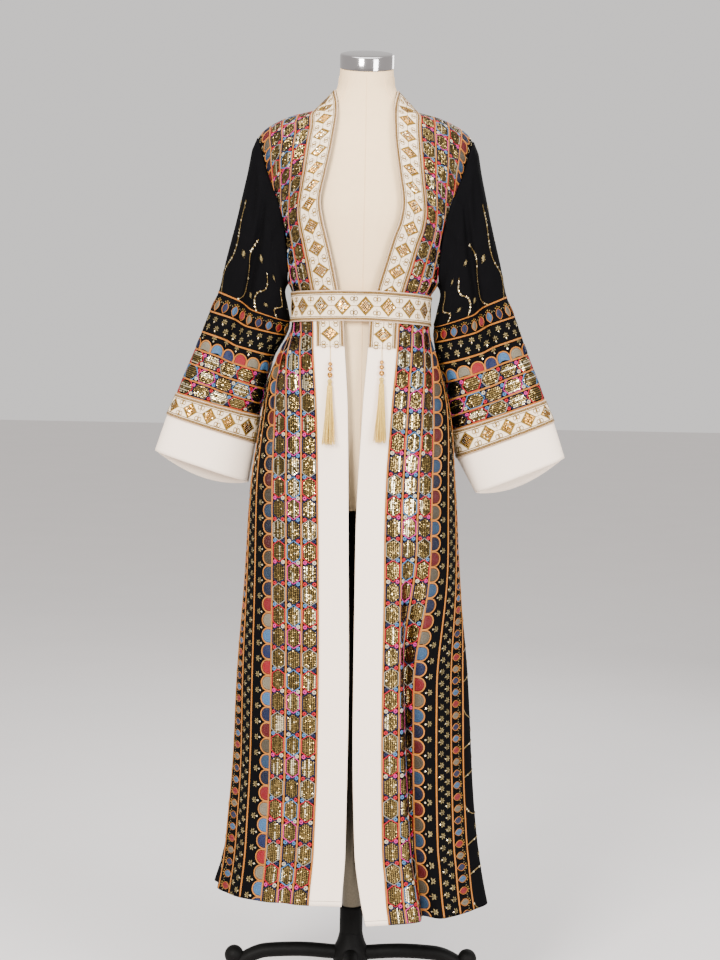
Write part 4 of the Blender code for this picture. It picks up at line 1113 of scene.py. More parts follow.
def cord_route(surface, side):
    """Stops of a pendant's cord, from inside the trim's tail through the beads to the tassel."""
    cover = GAP + BAND
    stops = [(tail_height(side) - CORD_START, cover + GAP + TRIM / 2)]
    drop = PENDANT_DROP[side]
    stops += [(height - drop, cover + radius + 2 * GAP) for height, radius in BEADS]
    stops.append((TASSEL_TOP - drop + GAP, cover + TASSEL_TOP_LIFT))
    return np.array([pendant_point(surface, side, height, lift) for height, lift in stops])


def add_bead(name, centre, lean, radius, material, sides=24):
    """Round bead with a hole and a fine rim, leaning as the cord does."""
    angles = np.radians(np.linspace(-72, 72, 15))
    profile = [(radius * math.cos(angle), radius * math.sin(angle)) for angle in angles]
    profile += [(BEAD_HOLE, profile[-1][1] - 0.0002), (BEAD_HOLE, profile[0][1] + 0.0002)]
    points, faces, uv = lathe([*profile, profile[0]], sides)
    count = len(profile) * sides
    points = points[:count]
    faces = [tuple(corner % count for corner in face) for face in faces[:-2]]
    points = points + centre + points[:, 2:] * (lean * (1.0, 1.0, 0.0))
    return solid("gold_" + name, (points, faces, uv[:count]), material, "gold_bead", name)


def add_tassel(name, top, foot, material):
    """Bound head with a wound neck, and long silk strands below it."""
    head = [(0.0008, 0.0), (0.0026, -0.0006), (0.0040, -0.0022), (0.0043, -0.0045), (0.0036, -0.0064),
            (0.0030, -0.0072)]
    for turn in range(4):
        head += [(0.0035, -0.0077 - turn * 0.0009), (0.0031, -0.0081 - turn * 0.0009)]
    head += [(0.0039, -0.0121), (0.0047, -0.0150), (0.0030, -0.0162)]
    parts = [lathe(head[::-1], 20)]
    length = float(top[2] - foot[2])
    for number in range(TASSEL_STRANDS):
        share = math.sqrt((number + 0.5) / TASSEL_STRANDS)
        angle = number * GOLDEN_ANGLE
        reach = 0.0043 * share
        spread = 0.0120 * share * RNG.uniform(0.85, 1.1)
        end = length * RNG.uniform(0.95, 1.0)
        sway = RNG.normal(0.0, 0.0012, 2)
        steps = shares(9)
        out = reach + (spread - reach) * steps**1.25
        turn = angle + RNG.normal(0.0, 0.25) * steps
        x = out * np.cos(turn) + sway[0] * steps**2
        y = out * np.sin(turn) + sway[1] * steps**2
        route = side_by_side(x, y, -TASSEL_HEAD - (end - TASSEL_HEAD) * steps)
        taper = 1.0 - 0.35 * steps
        parts.append(tube(route, 0.00062, 5, taper))
    points, faces, uv = combined(*parts)
    lean = (foot - top) / (foot - top)[2]
    points = points + top + points[:, 2:] * (lean * (1.0, 1.0, 0.0))
    return solid("silk_" + name, (points, faces, uv), material, "gold_thread", name)


def add_pendant(surface, side, word, materials):
    """Cord, three beads and a tassel below the tail of a front's trim.

    The cord runs on inside the tassel, whose strands are bound round it.
    """
    route = cord_route(surface, side)
    cover = GAP + BAND
    top = pendant_point(surface, side, TASSEL_TOP - PENDANT_DROP[side], cover + TASSEL_TOP_LIFT)
    foot = pendant_point(surface, side, TASSEL_FOOT - PENDANT_DROP[side], cover + TASSEL_FOOT_LIFT)
    inside = [top + (foot - top) * share for share in (0.1, 0.3, 0.5, 0.66)]
    line = through_points(np.vstack((route, inside)), 41)
    cord = solid("pendant_cord_" + word, tube(line, CORD_RADIUS, 8), materials["tassel"], "gold_thread",
                 "cord_" + word)
    for number, (height, radius) in enumerate(BEADS, 1):
        span = route[number + 1] - route[number - 1]
        add_bead(f"bead_{word}_{number}", route[number], span / span[2], radius,
                               materials["bead"])
    add_tassel("tassel_" + word, top, foot, materials["tassel"])


def through_points(points, count):
    """Evenly spaced points on the smooth curve through some points."""
    lengths = arc_lengths(points)
    curves = [smooth(lengths, column) for column in points.T]
    places = np.linspace(0.0, lengths[-1], count)
    return np.array([[curve(place) for curve in curves] for place in places])


def thread(path, kind, closed=False):
    """Raised thread along a flat path: points (x, y, lift), faces and UVs along its length."""
    width, height = THREADS[kind]
    path = np.asarray(path, float)
    count = len(path)
    if closed:
        ahead = unit(np.roll(path, -1, axis=0) - path)
        behind = unit(path - np.roll(path, 1, axis=0))
    else:
        steps = unit(np.diff(path, axis=0))
        ahead = np.concatenate((steps, steps[-1:]))
        behind = np.concatenate((steps[:1], steps))
    heading = unit(ahead + behind)
    side = side_by_side(-heading[:, 1], heading[:, 0])
    square = side_by_side(-ahead[:, 1], ahead[:, 0])
    side /= np.maximum((side * square).sum(axis=1), 0.45)[:, None]
    offsets = width * np.array((0.5, 0.34, 0.0, -0.34, -0.5))
    lifts = height * np.array((0.0, 0.78, 1.0, 0.78, 0.0))
    points = np.zeros((count, 5, 3))
    points[:, :, :2] = path[:, None] + side[:, None] * offsets[None, :, None]
    points[:, :, 2] = lifts
    ring = np.arange(5)
    rows = np.arange(count if closed else count - 1)[:, None]
    faces = [squares(rows * 5 + ring, (rows + 1) % count * 5 + ring).reshape(-1, 4)]
    if not closed:
        faces.append(np.array((ring[::-1], ring + (count - 1) * 5)))
    uv = side_by_side(arc_lengths(path)[:, None], ring / 5.0)
    return points.reshape(-1, 3), faces, uv.reshape(-1, 2)


def dome(outline, height, centre=None, levels=((1.0, 0.0), (0.82, 0.75), (0.45, 1.0))):
    """Low padded fill inside an outline: points, faces and UVs."""
    outline = np.asarray(outline, float)
    count = len(outline)
    middle = outline.mean(axis=0) if centre is None else np.array(centre)
    rows = [np.column_stack((middle + (outline - middle) * share, np.full(count, lift * height)))
            for share, lift in levels]
    points = np.concatenate((*rows, ((*middle, height),)))
    ring = np.arange(count)
    last = (len(levels) - 1) * count
    faces = [squares(start + ring, start + count + ring) for start in range(0, last, count)]
    faces += [side_by_side(last + ring, last + np.roll(ring, -1), len(points) - 1), ring[None, ::-1]]
    return points, faces, points[:, :2]


def sequin(radius, sides=6, cup=0.00025):
    """One slightly domed sequin: points, faces and UVs."""
    angles = angles_round(sides)
    rim = side_by_side(radius * np.cos(angles), radius * np.sin(angles), 0.0)
    points = np.concatenate((rim, ((0.0, 0.0, cup),)))
    ring = np.arange(sides)
    faces = [side_by_side(ring, np.roll(ring, -1), sides), ring[None, ::-1]]
    return points, faces, points[:, :2]


def arc(radius, start, end, count, centre=(0.0, 0.0)):
    """Points of an arc, its angles in degrees."""
    angles = np.radians(np.linspace(start, end, count))
    return side_by_side(centre[0] + radius * np.cos(angles), centre[1] + radius * np.sin(angles))


def close_ends(piece):
    """Close the open ends of stitches that were cut off at an edge of the cloth."""
    mesh = bmesh.new()
    mesh.from_mesh(piece.data)
    bmesh.ops.holes_fill(mesh, edges=[edge for edge in mesh.edges if edge.is_boundary], sides=0)
    mesh.to_mesh(piece.data)
    mesh.free()


class Needlework:
    """Stitches drawn flat in the cloth's own lengths (x, y, lift), and then laid on its surface."""

    def __init__(self):
        self.points = []
        self.faces = []
        self.colours = []
        self.uv = []
        self.count = 0

    def stamp(self, shape, places, colours, turns=0.0, sizes=1.0, tilts=None, lift=0.0):
        """Repeat a flat shape at places (x, y), each with its colour, turn, size and tilt."""
        points, faces, uv = shape
        places = np.atleast_2d(np.asarray(places, float))
        count = len(places)
        if not count:
            return
        turns = np.broadcast_to(turns, (count,))
        sizes = np.broadcast_to(sizes, (count,))
        cosine, sine = np.cos(turns)[:, None], np.sin(turns)[:, None]
        laid = np.empty((count, len(points), 3))
        laid[:, :, 0] = (points[:, 0] * cosine - points[:, 1] * sine) * sizes[:, None]
        laid[:, :, 1] = (points[:, 0] * sine + points[:, 1] * cosine) * sizes[:, None]
        laid[:, :, 2] = points[:, 2] + lift
        if tilts is not None:
            laid[:, :, 2] += laid[:, :, 0] * tilts[:, :1] + laid[:, :, 1] * tilts[:, 1:]
        laid[:, :, :2] += places[:, None, :]
        shifts = self.count + len(points) * np.arange(count)
        for part in faces:
            self.faces.append((part[None] + shifts[:, None, None]).reshape(-1, part.shape[1]))
        self.points.append(laid.reshape(-1, 3))
        self.uv.append(np.broadcast_to(uv, (count, *uv.shape)).reshape(-1, 2))
        colours = np.broadcast_to(np.asarray(colours, float), (count, 3))
        self.colours.append(np.repeat(colours, len(points), axis=0))
        self.count += count * len(points)

    def draw(self, shape, colour, lift=0.0):
        """Add a flat shape where it was drawn."""
        self.stamp(shape, (0.0, 0.0), colour, lift=lift)

    def lay(self, name, surface, layout, material, slot="gold_thread", sharp=50.0):
        """Lay the stitches on a surface; the layout gives each point's place and whether it shows."""
        if not self.count:
            return None
        flat = np.concatenate(self.points)
        across, down, lift, shown = layout(surface, flat)
        points = surface.at(across, down, lift - STITCH_SINK)
        faces = []
        used = np.zeros(len(flat), bool)
        for part in self.faces:
            kept = part[shown[part].any(axis=1)]
            used[kept.ravel()] = True
            faces.append(kept[:, ::-1] if surface.turned else kept)
        order = np.cumsum(used) - 1
        faces = [face for part in faces for face in order[part].tolist()]
        if not faces:
            return None
        piece = add_mesh(name, points[used], faces, material, np.concatenate(self.uv)[used],
                         np.concatenate(self.colours)[used], sharp)
        close_ends(piece)
        return seat(piece, slot)


# Torso of the dress form: height, half width, depth in front, depth behind
TORSO = (
    (0.900, 0.128, 0.086, 0.086), (0.903, 0.142, 0.097, 0.097), (0.915, 0.151, 0.104, 0.104),
    (0.960, 0.157, 0.110, 0.112), (1.030, 0.158, 0.113, 0.116), (1.115, 0.138, 0.104, 0.107),
    (1.200, 0.113, 0.090, 0.090), (1.250, 0.108, 0.086, 0.084), (1.290, 0.113, 0.090, 0.088),
    (1.350, 0.131, 0.105, 0.096), (1.420, 0.147, 0.117, 0.102), (1.480, 0.165, 0.108, 0.102),
    (1.525, 0.180, 0.094, 0.093), (1.545, 0.183, 0.087, 0.087), (1.556, 0.182, 0.082, 0.082),
    (1.570, 0.172, 0.077, 0.077), (1.582, 0.1535, 0.072, 0.072), (1.592, 0.1290, 0.067, 0.067),
    (1.602, 0.0955, 0.061, 0.061), (1.615, 0.0760, 0.056, 0.056), (1.630, 0.0640, 0.053, 0.0535),
    (1.644, 0.0538, 0.0505, 0.0510), (1.655, 0.0500, 0.0495, 0.0495),
)
TORSO_POWER = 2.15
NECK_FOOT = 1.655
NECK_FOOT_RADIUS = 0.0500
NECK_TOP = 1.6855
NECK_RADIUS = 0.0475
NECK_TILT = 0.26
FORM_GIRTH = 0.86
# Turned profiles: radius and height
CAP_PROFILE = ((0.0475, 0.0003), (0.0483, 0.0008), (0.0486, 0.0020), (0.0486, 0.0220), (0.0484, 0.0236),
               (0.0476, 0.0249), (0.0460, 0.0257), (0.0430, 0.0263), (0.0350, 0.0268), (0.0250, 0.0271),
               (0.0120, 0.0272))

# Stand
POLE_TOP = 0.900
UPPER_POLE_RADIUS = 0.0170
LOWER_POLE_RADIUS = 0.0206
LOWER_POLE_TOP = 0.187
HUB_TOP = 0.140
LEG_PATH = ((0.022, 0.103), (0.090, 0.107), (0.150, 0.104), (0.190, 0.088), (0.215, 0.058), (0.226, 0.026),
            (0.232, 0.006))
LEG_HALF_WIDTH = 0.014
LEG_HALF_HEIGHT = 0.0125
KNOB_REACH = 0.2085
KNOB_HEIGHT = 0.0947
KNOB_RADIUS = 0.017
FOOT_REACH = 0.234
FOOT_PROFILE = ((0.0200, 0.0), (0.0210, 0.0010), (0.0210, 0.0072), (0.0200, 0.0094), (0.0168, 0.0120))
HUB_PROFILE = ((0.0190, 0.064), (0.0240, 0.066), (0.0280, 0.071), (0.0305, 0.080), (0.0314, 0.095),
               (0.0310, 0.108), (0.0296, 0.113), (0.0276, 0.118), (0.0256, 0.122), (0.0238, 0.127),
               (0.0224, 0.132), (0.0213, 0.137), (0.0207, HUB_TOP))


def torso_grid(heights, sides):
    """Fine points of the form's cover; the neck turns level rings into the tilted top."""
    half, front, behind = table_curves(TORSO)
    angles = angles_round(sides)
    across, deep = np.cos(angles), np.sin(angles)
    rings = []
    for height in heights:
        power = TORSO_POWER + (2.0 - TORSO_POWER) * ease(height, 1.60, NECK_FOOT)
        x = half(height) * np.sign(across) * np.abs(across) ** (2 / power)
        y = np.where(deep > 0, behind(height), front(height)) * np.sign(deep) * np.abs(deep) ** (2 / power)
        rings.append(side_by_side(x, y, height))
    for share in (0.5, 1.0):
        radius = NECK_FOOT_RADIUS + (NECK_RADIUS - NECK_FOOT_RADIUS) * share
        level = NECK_FOOT + (NECK_TOP - NECK_FOOT) * share
        tilt = NECK_TILT * share * radius * deep
        rings.append(side_by_side(radius * across, radius * deep, level + tilt))
    return np.array(rings)


def add_form(materials):
    """Linen cover of the form, its seams, and the chrome cap on the neck."""
    sides = 96
    heights = np.concatenate((np.linspace(0.9, 0.915, 6), np.linspace(0.925, NECK_FOOT, 122)))
    grid = torso_grid(heights, sides)
    around, down = np.arange(sides) / sides * FORM_GIRTH, arc_lengths(grid[:, 0])[:, None]
    uv = side_by_side(around, down).reshape(-1, 2)
    cover = (grid.reshape(-1, 3), tube_faces(len(grid), sides), uv)
    solid("form_cover", cover, materials["linen"], "linen", "form_torso")
    lines = [grid[4:-1, column] * (1.0022, 1.0022, 1.0) for column in (0, 13, 35, 48, 61, 72, 83)]
    solid("form_seams", combined(*(tube(line, 0.0007, 6) for line in lines)), materials["linen"], "linen")
    points, faces, uv = lathe(CAP_PROFILE, 72)
    points[:, 2] += NECK_TOP + NECK_TILT * points[:, 1]
    solid("chrome_cap", (points, faces, uv), materials["chrome"], "chrome", "neck_cap")


def add_stand(materials):
    """Two tubes of the pole and the base with its four arched legs."""
    upper = ((UPPER_POLE_RADIUS, LOWER_POLE_TOP + GAP), (UPPER_POLE_RADIUS, POLE_TOP - GAP))
    solid("bronzed_pole", lathe(upper, 48), materials["pole"], "pole", "pole_upper")
    radius = LOWER_POLE_RADIUS
    lower = ((radius, HUB_TOP + GAP), (radius, 0.181), (radius - 0.0006, 0.1855),
             (radius - 0.0015, LOWER_POLE_TOP), (UPPER_POLE_RADIUS + GAP, LOWER_POLE_TOP))
    solid("iron_pole", lathe(lower, 48), materials["iron"], "iron", "pole_lower")
    reach, height = np.array(LEG_PATH).T
    bends = arc_lengths(np.array(LEG_PATH))
    steps = np.linspace(0.0, bends[-1], 40)
    route = side_by_side(smooth(bends, reach)(steps), 0.0, smooth(bends, height)(steps))
    middle = np.repeat(route, 16, axis=0)
    points, faces, uv = tube(route, 1.0, 16)
    leg = (middle + (points - middle) * (LEG_HALF_HEIGHT, LEG_HALF_WIDTH, LEG_HALF_HEIGHT), faces, uv)
    angles = np.radians(np.linspace(-75, 75, 13))
    knob = [(KNOB_RADIUS * math.cos(a), KNOB_HEIGHT + KNOB_RADIUS * math.sin(a)) for a in angles]
    shapes = (leg, lathe(knob, 24, (KNOB_REACH, 0.0, 0.0)), lathe(FOOT_PROFILE, 32, (FOOT_REACH, 0.0, 0.0)))
    parts = [lathe(HUB_PROFILE, 48)]
    for number in range(4):
        cosine, sine = math.cos(number * math.pi / 2), math.sin(number * math.pi / 2)
        spin = np.array(((cosine, sine, 0), (-sine, cosine, 0), (0, 0, 1)))
        parts += [(points @ spin, faces, uv) for points, faces, uv in shapes]
    solid("iron_base", combined(*parts), materials["iron"], "iron", "base")


# Slot of each finish of cloth
SLOTS = {"crepe": "crepe", "cream": "cream", "ribbon": "diamond_trim"}


def band_width(surface, down):
    """Width of a front's plain band at a length down it."""
    belt = surface.down_at(BELT_FOOT)
    return np.interp((down - belt) / (surface.down[-1] - belt), *BAND_WIDTHS[surface.panel])


def fewer(down, spacing=0.0078):
    """Rows for a sheet of cloth: those of its surface, spaced wider."""
    count = int((down[-1] - down[0]) / spacing)
    return np.interp(shares(count), shares(len(down)), down)


def open_cloth(surface, down, count):
    """Lengths across an open panel at lengths down it, from edge to edge."""
    return surface.reach_at(down)[:, None] * shares(count)


def round_cloth(down, count):
    """Shares of the way round a closed panel at lengths down it."""
    return np.broadcast_to(np.arange(count + 1) / count, (len(down), count + 1))


def add_panels(fronts, back, sleeves, cuffs, belt, materials):
    """Cloth shells of the panels, sleeves, bands, cuffs, trims and belt."""
    def hang(name, surface, across, down, lift, thickness, node, cut, *carriers, edge=0):
        finish = name.split("_")[0]
        piece = shell(name, surface, across, down, lift, thickness, materials[finish])
        if edge:
            keep_clear(piece, edge)
        seat(piece, SLOTS[finish], node)

    for side, surface in fronts.items():
        word = WORDS[side]
        front = "front_" + word
        down = fewer(surface.down)
        hang("crepe_" + front, surface, open_cloth(surface, down, 72), down, 0.0, CREPE, front, "front",
             "form_torso", edge=-1)
        belt_line = surface.down_at(BELT_MIDDLE)
        down = np.concatenate(((belt_line,), surface.down[surface.down > belt_line]))
        across = band_width(surface, down)[:, None] * np.linspace(0.004, 1.0, 16)[None]
        hang("cream_band_" + word, surface, across, down, GAP + BAND, BAND, "front_band_" + word, "band",
             front)
        tail = surface.down_at(tail_height(side), TRIM_COLUMN)
        down = np.concatenate((surface.down[surface.down < tail], (tail,)))
        across = np.broadcast_to(np.linspace(0.0, TRIM_WIDTH, 18), (len(down), 18))
        lift = GAP + TRIM + (BAND + GAP) * ease(down, belt_line - STEP_UP, belt_line)
        hang("ribbon_" + word, surface, across, down, lift[:, None], TRIM, "neck_trim_" + word, "neck trim",
             front)
    down = fewer(back.down)
    hang("crepe_back", back, open_cloth(back, down, 130), down, 0.0, CREPE, "back", "back", "form_torso",
         edge=1)
    foot = back.down_at(BACK_TRIM_FOOT)
    down = np.concatenate((back.down[back.down < foot], (foot,)))
    hang("ribbon_back", back, open_cloth(back, down, 60), down, GAP + TRIM, TRIM, "neck_trim_back",
         "back neck trim", "back")
    for side, surface in sleeves.items():
        word = WORDS[side]
        sleeve = "sleeve_" + word
        down = fewer(surface.down)
        hang("crepe_" + sleeve, surface, round_cloth(down, 120), down, 0.0, CREPE, sleeve, "sleeve",
             "front_" + word, "back")
        down = np.linspace(0.0, surface.down[-1], 12)
        hang("ribbon_cuff_" + word, surface, round_cloth(down, RING_POINTS), down, GAP + TRIM, TRIM,
             "cuff_trim_" + word, "cuff trim", sleeve)
    for side, surface in cuffs.items():
        cuff = "cuff_" + WORDS[side]
        down = surface.down
        hang("cream_" + cuff, surface, round_cloth(down, RING_POINTS), down, 0.0, CREPE, cuff, "cuff",
             "sleeve_" + WORDS[side])
    down = belt.down
    hang("ribbon_belt", belt, round_cloth(down, BELT_POINTS), down, BELT_CLOTH, BELT_CLOTH, "belt", "belt",
         "front_left", "front_right", "back")


def new_work():
    """Empty stitches in each of the four kinds of thread."""
    return {kind: Needlework() for kind in ("silk", "chain", "gold", "sequin")}


def repeats(across, start, end, pitch, phase):
    """Numbers and centres of what repeats between two ends, with number 0 at the phase."""
    first = math.ceil((start - phase) / pitch - 0.5)
    numbers = np.arange(first, math.floor((end - phase) / pitch + 0.5) + 1)
    return numbers, side_by_side(across, phase + numbers * pitch)


def leaf(length, width, height=0.0006):
    """Small pointed leaf with a ridge, from its stem along x."""
    points = np.array(((0.0, 0.0, 0.0), (0.5 * length, -0.5 * width, 0.0), (length, 0.0, 0.0),
                       (0.5 * length, 0.5 * width, 0.0), (0.5 * length, 0.0, height)))
    faces = [np.array(((0, 1, 4), (1, 2, 4), (2, 3, 4), (3, 0, 4))), np.array(((3, 2, 1, 0),))]
    return points, faces, points[:, :2]


def turned(shape, degrees, shift=(0.0, 0.0)):
    """A flat shape turned and moved."""
    points, faces, uv = shape
    turn = math.radians(degrees)
    spin = np.array(((math.cos(turn), math.sin(turn)), (-math.sin(turn), math.cos(turn))))
    moved = points.copy()
    moved[:, :2] = points[:, :2] @ spin + shift
    return moved, faces, uv


def sprig():
    """Five-lobed leaf on a short stem, 12 mm long, pointing along x."""
    lobes = [turned(leaf(0.0060, 0.0030), angle, (0.0004, 0.0)) for angle in (0, 48, -48, 108, -108)]
    stem = thread(((-0.0058, 0.0), (0.0010, 0.0)), "stem")
    return combined(*lobes, stem)


def straight(across, start, end, spacing=0.008):
    """Evenly divided line along the cloth at a length across it."""
    return side_by_side(across, np.linspace(start, end, max(2, math.ceil((end - start) / spacing) + 1)))


def oval(reach, half, count, power=1.0):
    """Outline of a pointed oval."""
    x = reach * np.cos(np.linspace(0, np.pi, count))
    y = half * (1 - (x / reach) ** 2) ** power
    return np.concatenate((side_by_side(x, y), side_by_side(-x, -y)[1:-1]))


def shades(colour, count, spread=0.18):
    """The same colour a little lighter and darker from piece to piece."""
    return np.asarray(colour) * (1.0 + spread * RNG.uniform(-1.0, 1.0, (count, 1)))


def sew_sequins(work, kind, places, foil, sizes=1.0, steadier=1.0):
    """Sequins at places, each a little tilted."""
    radius, spread, lift = SEQUINS[kind]
    tilts = RNG.normal(0.0, spread, (len(places), 2)) * steadier
    work["sequin"].stamp(sequin(radius), places, foil, sizes=sizes, tilts=tilts, lift=lift)


def border_cord(work, across, start, end):
    """Braided cord of two strands that parts the columns."""
    for shift in (-0.00072, 0.00072):
        work["silk"].draw(thread(straight(across + shift, start, end), "cord"), ORANGE)


def hexagon_column(work, middle, start, end, pitch, phase, colours, rings, spread, shine):
    """Column of hexagons filled with strings of sequins, with two small rings where they meet; whole
    strings and single sequins get a painted highlight colour.
    """
    half, straight_half, tip = 0.012 * spread, 0.0105, 0.0187
    outline = ((half, -straight_half), (half, straight_half), (0.0, tip), (-half, straight_half),
               (-half, -straight_half), (0.0, -tip))
    numbers, centres = repeats(middle, start, end, pitch, phase)
    cycle = numbers % 3
    work["silk"].stamp(thread(outline, "hexagon", True), centres, np.array(colours)[cycle])
    for side in (0, 1):
        junctions = centres + (0.0, pitch / 2) + (0.0080 * spread * (2 * side - 1), 0.0)
        work["silk"].stamp(small_ring(0.00235, "small ring"), junctions,
                           np.array([pair[side] for pair in rings])[cycle])
    spots = []
    for string in range(HEXAGON_STRINGS):
        x = half * (string - 2.5) * STRING_PITCH
        limit = tip - (tip - straight_half) * abs(x) / half - 0.0034
        spots += [(x, y) for y in np.linspace(-limit, limit, 2 * int(limit / 0.00245) + 1)]
    spots = np.array(spots)
    strings = np.round(spots[:, 0] / half / STRING_PITCH + 2.5).astype(int)
    for centre, glint_share in zip(centres, shine(centres[:, 1])):
        # Painted highlights: whole strings, at the share for this height, and a few single sequins take the
        # pale glint colour
        glinting_strings = RNG.random(HEXAGON_STRINGS) < glint_share * RNG.choice((0.06, 0.16, 0.6), p=(0.45, 0.32, 0.23))
        painted_highlight = glinting_strings[strings] & (RNG.random(len(spots)) < 0.8) | (RNG.random(len(spots)) < 0.025)
        tone = RNG.uniform(0.6, 1.2, HEXAGON_STRINGS)[strings] * RNG.uniform(0.8, 1.2, len(spots))
        foil = np.where(painted_highlight[:, None], np.array(PAINTED_GLINT), np.array(OLIVE) * tone[:, None])
        calm = np.where(painted_highlight, 0.5, 1.0)[:, None]
        sew_sequins(work, "hexagon", centre + spots, foil, steadier=calm)


def small_ring(radius, kind, stretch=1.0):
    """Small ring of thread."""
    return thread(arc(radius, 0, 315, 8) * (stretch, 1.0), kind, True)


def with_painted_sheen(fills, numbers, sheen_share):
    """Fills of numbered shapes, each between its dull colour and its lighter copy with painted sheen."""
    dull, painted_highlight = (np.array(row)[numbers % 4] for row in fills)
    return dull + (painted_highlight - dull) * np.asarray(sheen_share)[:, None]


def arch(radius, base=0.0):
    """Outline of a scallop that stands on its base."""
    rounded = arc(radius, -90, 90, 10, (SCALLOP_STRAIGHT, 0.0))
    return np.concatenate((((base, -radius),), rounded, ((base, radius),)))


def scallop_row(work, base, start, end, pitch, phase, fills, sheen_share):
    """Row of padded scallops on the last cord, with a sprig where two of them meet."""
    numbers, centres = repeats(base, start, end, pitch, phase)
    radius = pitch / 2 - 0.0008
    # Painted sheen: each fill is blended towards its lighter copy by the share at its height
    fills = with_painted_sheen(fills, numbers, sheen_share(centres[:, 1]))
    inside = arch(radius - 0.0011, 0.0011)
    work["chain"].stamp(dome(inside, 0.0010, (0.0095, 0.0)), centres, fills)
    for share in (0.72, 0.42):
        ridge = (inside - (0.0075, 0.0)) * share + (0.0075, 0.0)
        work["chain"].stamp(thread(ridge, "ridge"), centres, fills * 1.15, lift=0.0008)
    work["silk"].stamp(thread(arch(radius), "scallop"), centres, shades(ORANGE, len(centres)))
    tips = centres + (0.0290, pitch / 2)
    work["gold"].stamp(sprig(), tips, shades(LEAF_GOLD, len(tips)), sizes=SPRIG_SIZE)
    # Sequin at each sprig's foot, painted with the pale highlight colour
    sew_sequins(work, "scallop", tips - (0.0062, 0.0), PAINTED_GLINT)


def sprig_row(work, across, start, end, pitch, phase):
    """Row of small sprigs that point away from the border's first cord."""
    centres = repeats(across, start, end, pitch, phase)[1]
    count = len(centres)
    turns = RNG.normal(0.0, 0.10, count)
    work["gold"].stamp(sprig(), centres, shades(LEAF_GOLD, count, 0.3), turns=turns, sizes=SPRIG_SIZE)
    # Sequin beside each sprig, painted with the pale highlight colour
    painted_glint_spots = centres + side_by_side(-0.0040, RNG.normal(0.0, 0.0008, count))
    sew_sequins(work, "sprig", painted_glint_spots, PAINTED_GLINT)


def eye_row(work, middle, start, end, pitch, phase, fills, sheen_share):
    """Row of pointed ovals, each with a slit, three dots and two petals at its outer tip."""
    numbers, centres = repeats(middle, start, end, pitch, phase)
    count = len(centres)
    outline = oval(0.0108, 0.0062, 8)
    # Painted sheen: each fill is blended towards its lighter copy by the share at its height
    fills = with_painted_sheen(fills, numbers, sheen_share(centres[:, 1]))
    work["chain"].stamp(dome(outline * 0.92, 0.0009), centres, fills)
    work["silk"].stamp(thread(outline, "oval", True), centres, shades(ORANGE, count))
    slit = thread(((-0.0052, 0.0), (0.0, 0.0), (0.0052, 0.0)), "slit")
    work["chain"].stamp(slit, centres, fills * 0.35, lift=0.0009)
    dot = dome(arc(0.0015, 0, 300, 6), 0.0009)
    for shift in ((0.0140, 0.0), (0.0118, 0.0040), (0.0118, -0.0040)):
        work["gold"].stamp(dot, centres + shift, shades(PALE_GOLD, count))
    for side in (-1, 1):
        petal = turned(leaf(0.0068, 0.0024), side * 38, (0.0050, side * 0.0056))
        work["gold"].stamp(petal, centres, shades(LEAF_GOLD, count))


def diamond_strip(work, width, start, end, phase, pitch=DIAMOND_PITCH):
    """Trim with sequin diamonds, crosses and double rings between two braided edges."""
    gold = work["gold"]
    middle = width / 2
    inset = pitch * 0.30
    centres = repeats(middle, start + inset, end - inset, pitch, phase)[1]
    long, wide = 0.0130, min(0.0150, width * 0.285)
    outline = ((wide, 0.0), (0.0, long), (-wide, 0.0), (0.0, -long))
    gold.stamp(thread(outline, "diamond", True), centres, shades(PALE_GOLD, len(centres), 0.1))
    steps = (np.arange(6) - 2.5) * 0.4
    across, along = wide - 0.0026, long - 0.0026
    spots = np.array([((a + b) / 2 * across, (a - b) / 2 * along) for a in steps for b in steps])
    for centre in centres:
        # Painted highlights: a share of each diamond's sequins take the pale glint colour
        painted_highlight = RNG.random(len(spots)) < RNG.choice((0.03, 0.10, 0.38), p=(0.45, 0.35, 0.20))
        tone = RNG.uniform(0.7, 1.25, (len(spots), 1))
        foil = np.where(painted_highlight[:, None], np.array(PAINTED_GLINT), np.array(COPPER) * tone)
        sew_sequins(work, "diamond", centre + spots, foil)
    joins = repeats(middle, start, end, pitch, phase + pitch / 2)[1]
    reach = pitch / 2 - long
    gold.stamp(thread(((0.0, -reach), (0.0, reach)), "join"), joins, PALE_GOLD)
    ring = small_ring(0.0029, "double ring", 1.25)
    bar = thread(((-0.0074, 0.0), (0.0074, 0.0)), "bar")
    for side in (-1, 1):
        pair = joins + (side * width * 0.225, 0.0)
        gold.stamp(bar, pair, PALE_GOLD)
        for step in (-1, 1):
            gold.stamp(ring, pair + (0.0, step * 0.0034), PALE_GOLD)
    for inset, kind in TRIM_LINES:
        for across in (inset, width - inset):
            line = thread(straight(across, start, end, 0.006), kind)
            if kind == "piping":
                work["silk"].draw(line, PIPING)
            else:
                gold.draw(line, BRAID_GOLD)


# Colours of each column's hexagons and pairs of small rings; the third column is like the first
HEXAGON_COLOURS = ((RED, NAVY_LINE, GREY_LINE), (SKY_LINE, MAGENTA, NAVY_LINE))
RING_COLOURS = (((CREAM, MAGENTA), (RED, RED), (NAVY_LINE, SKY_LINE)),
                ((CREAM, RED), (SKY_LINE, SKY_LINE), (RED, CREAM)))
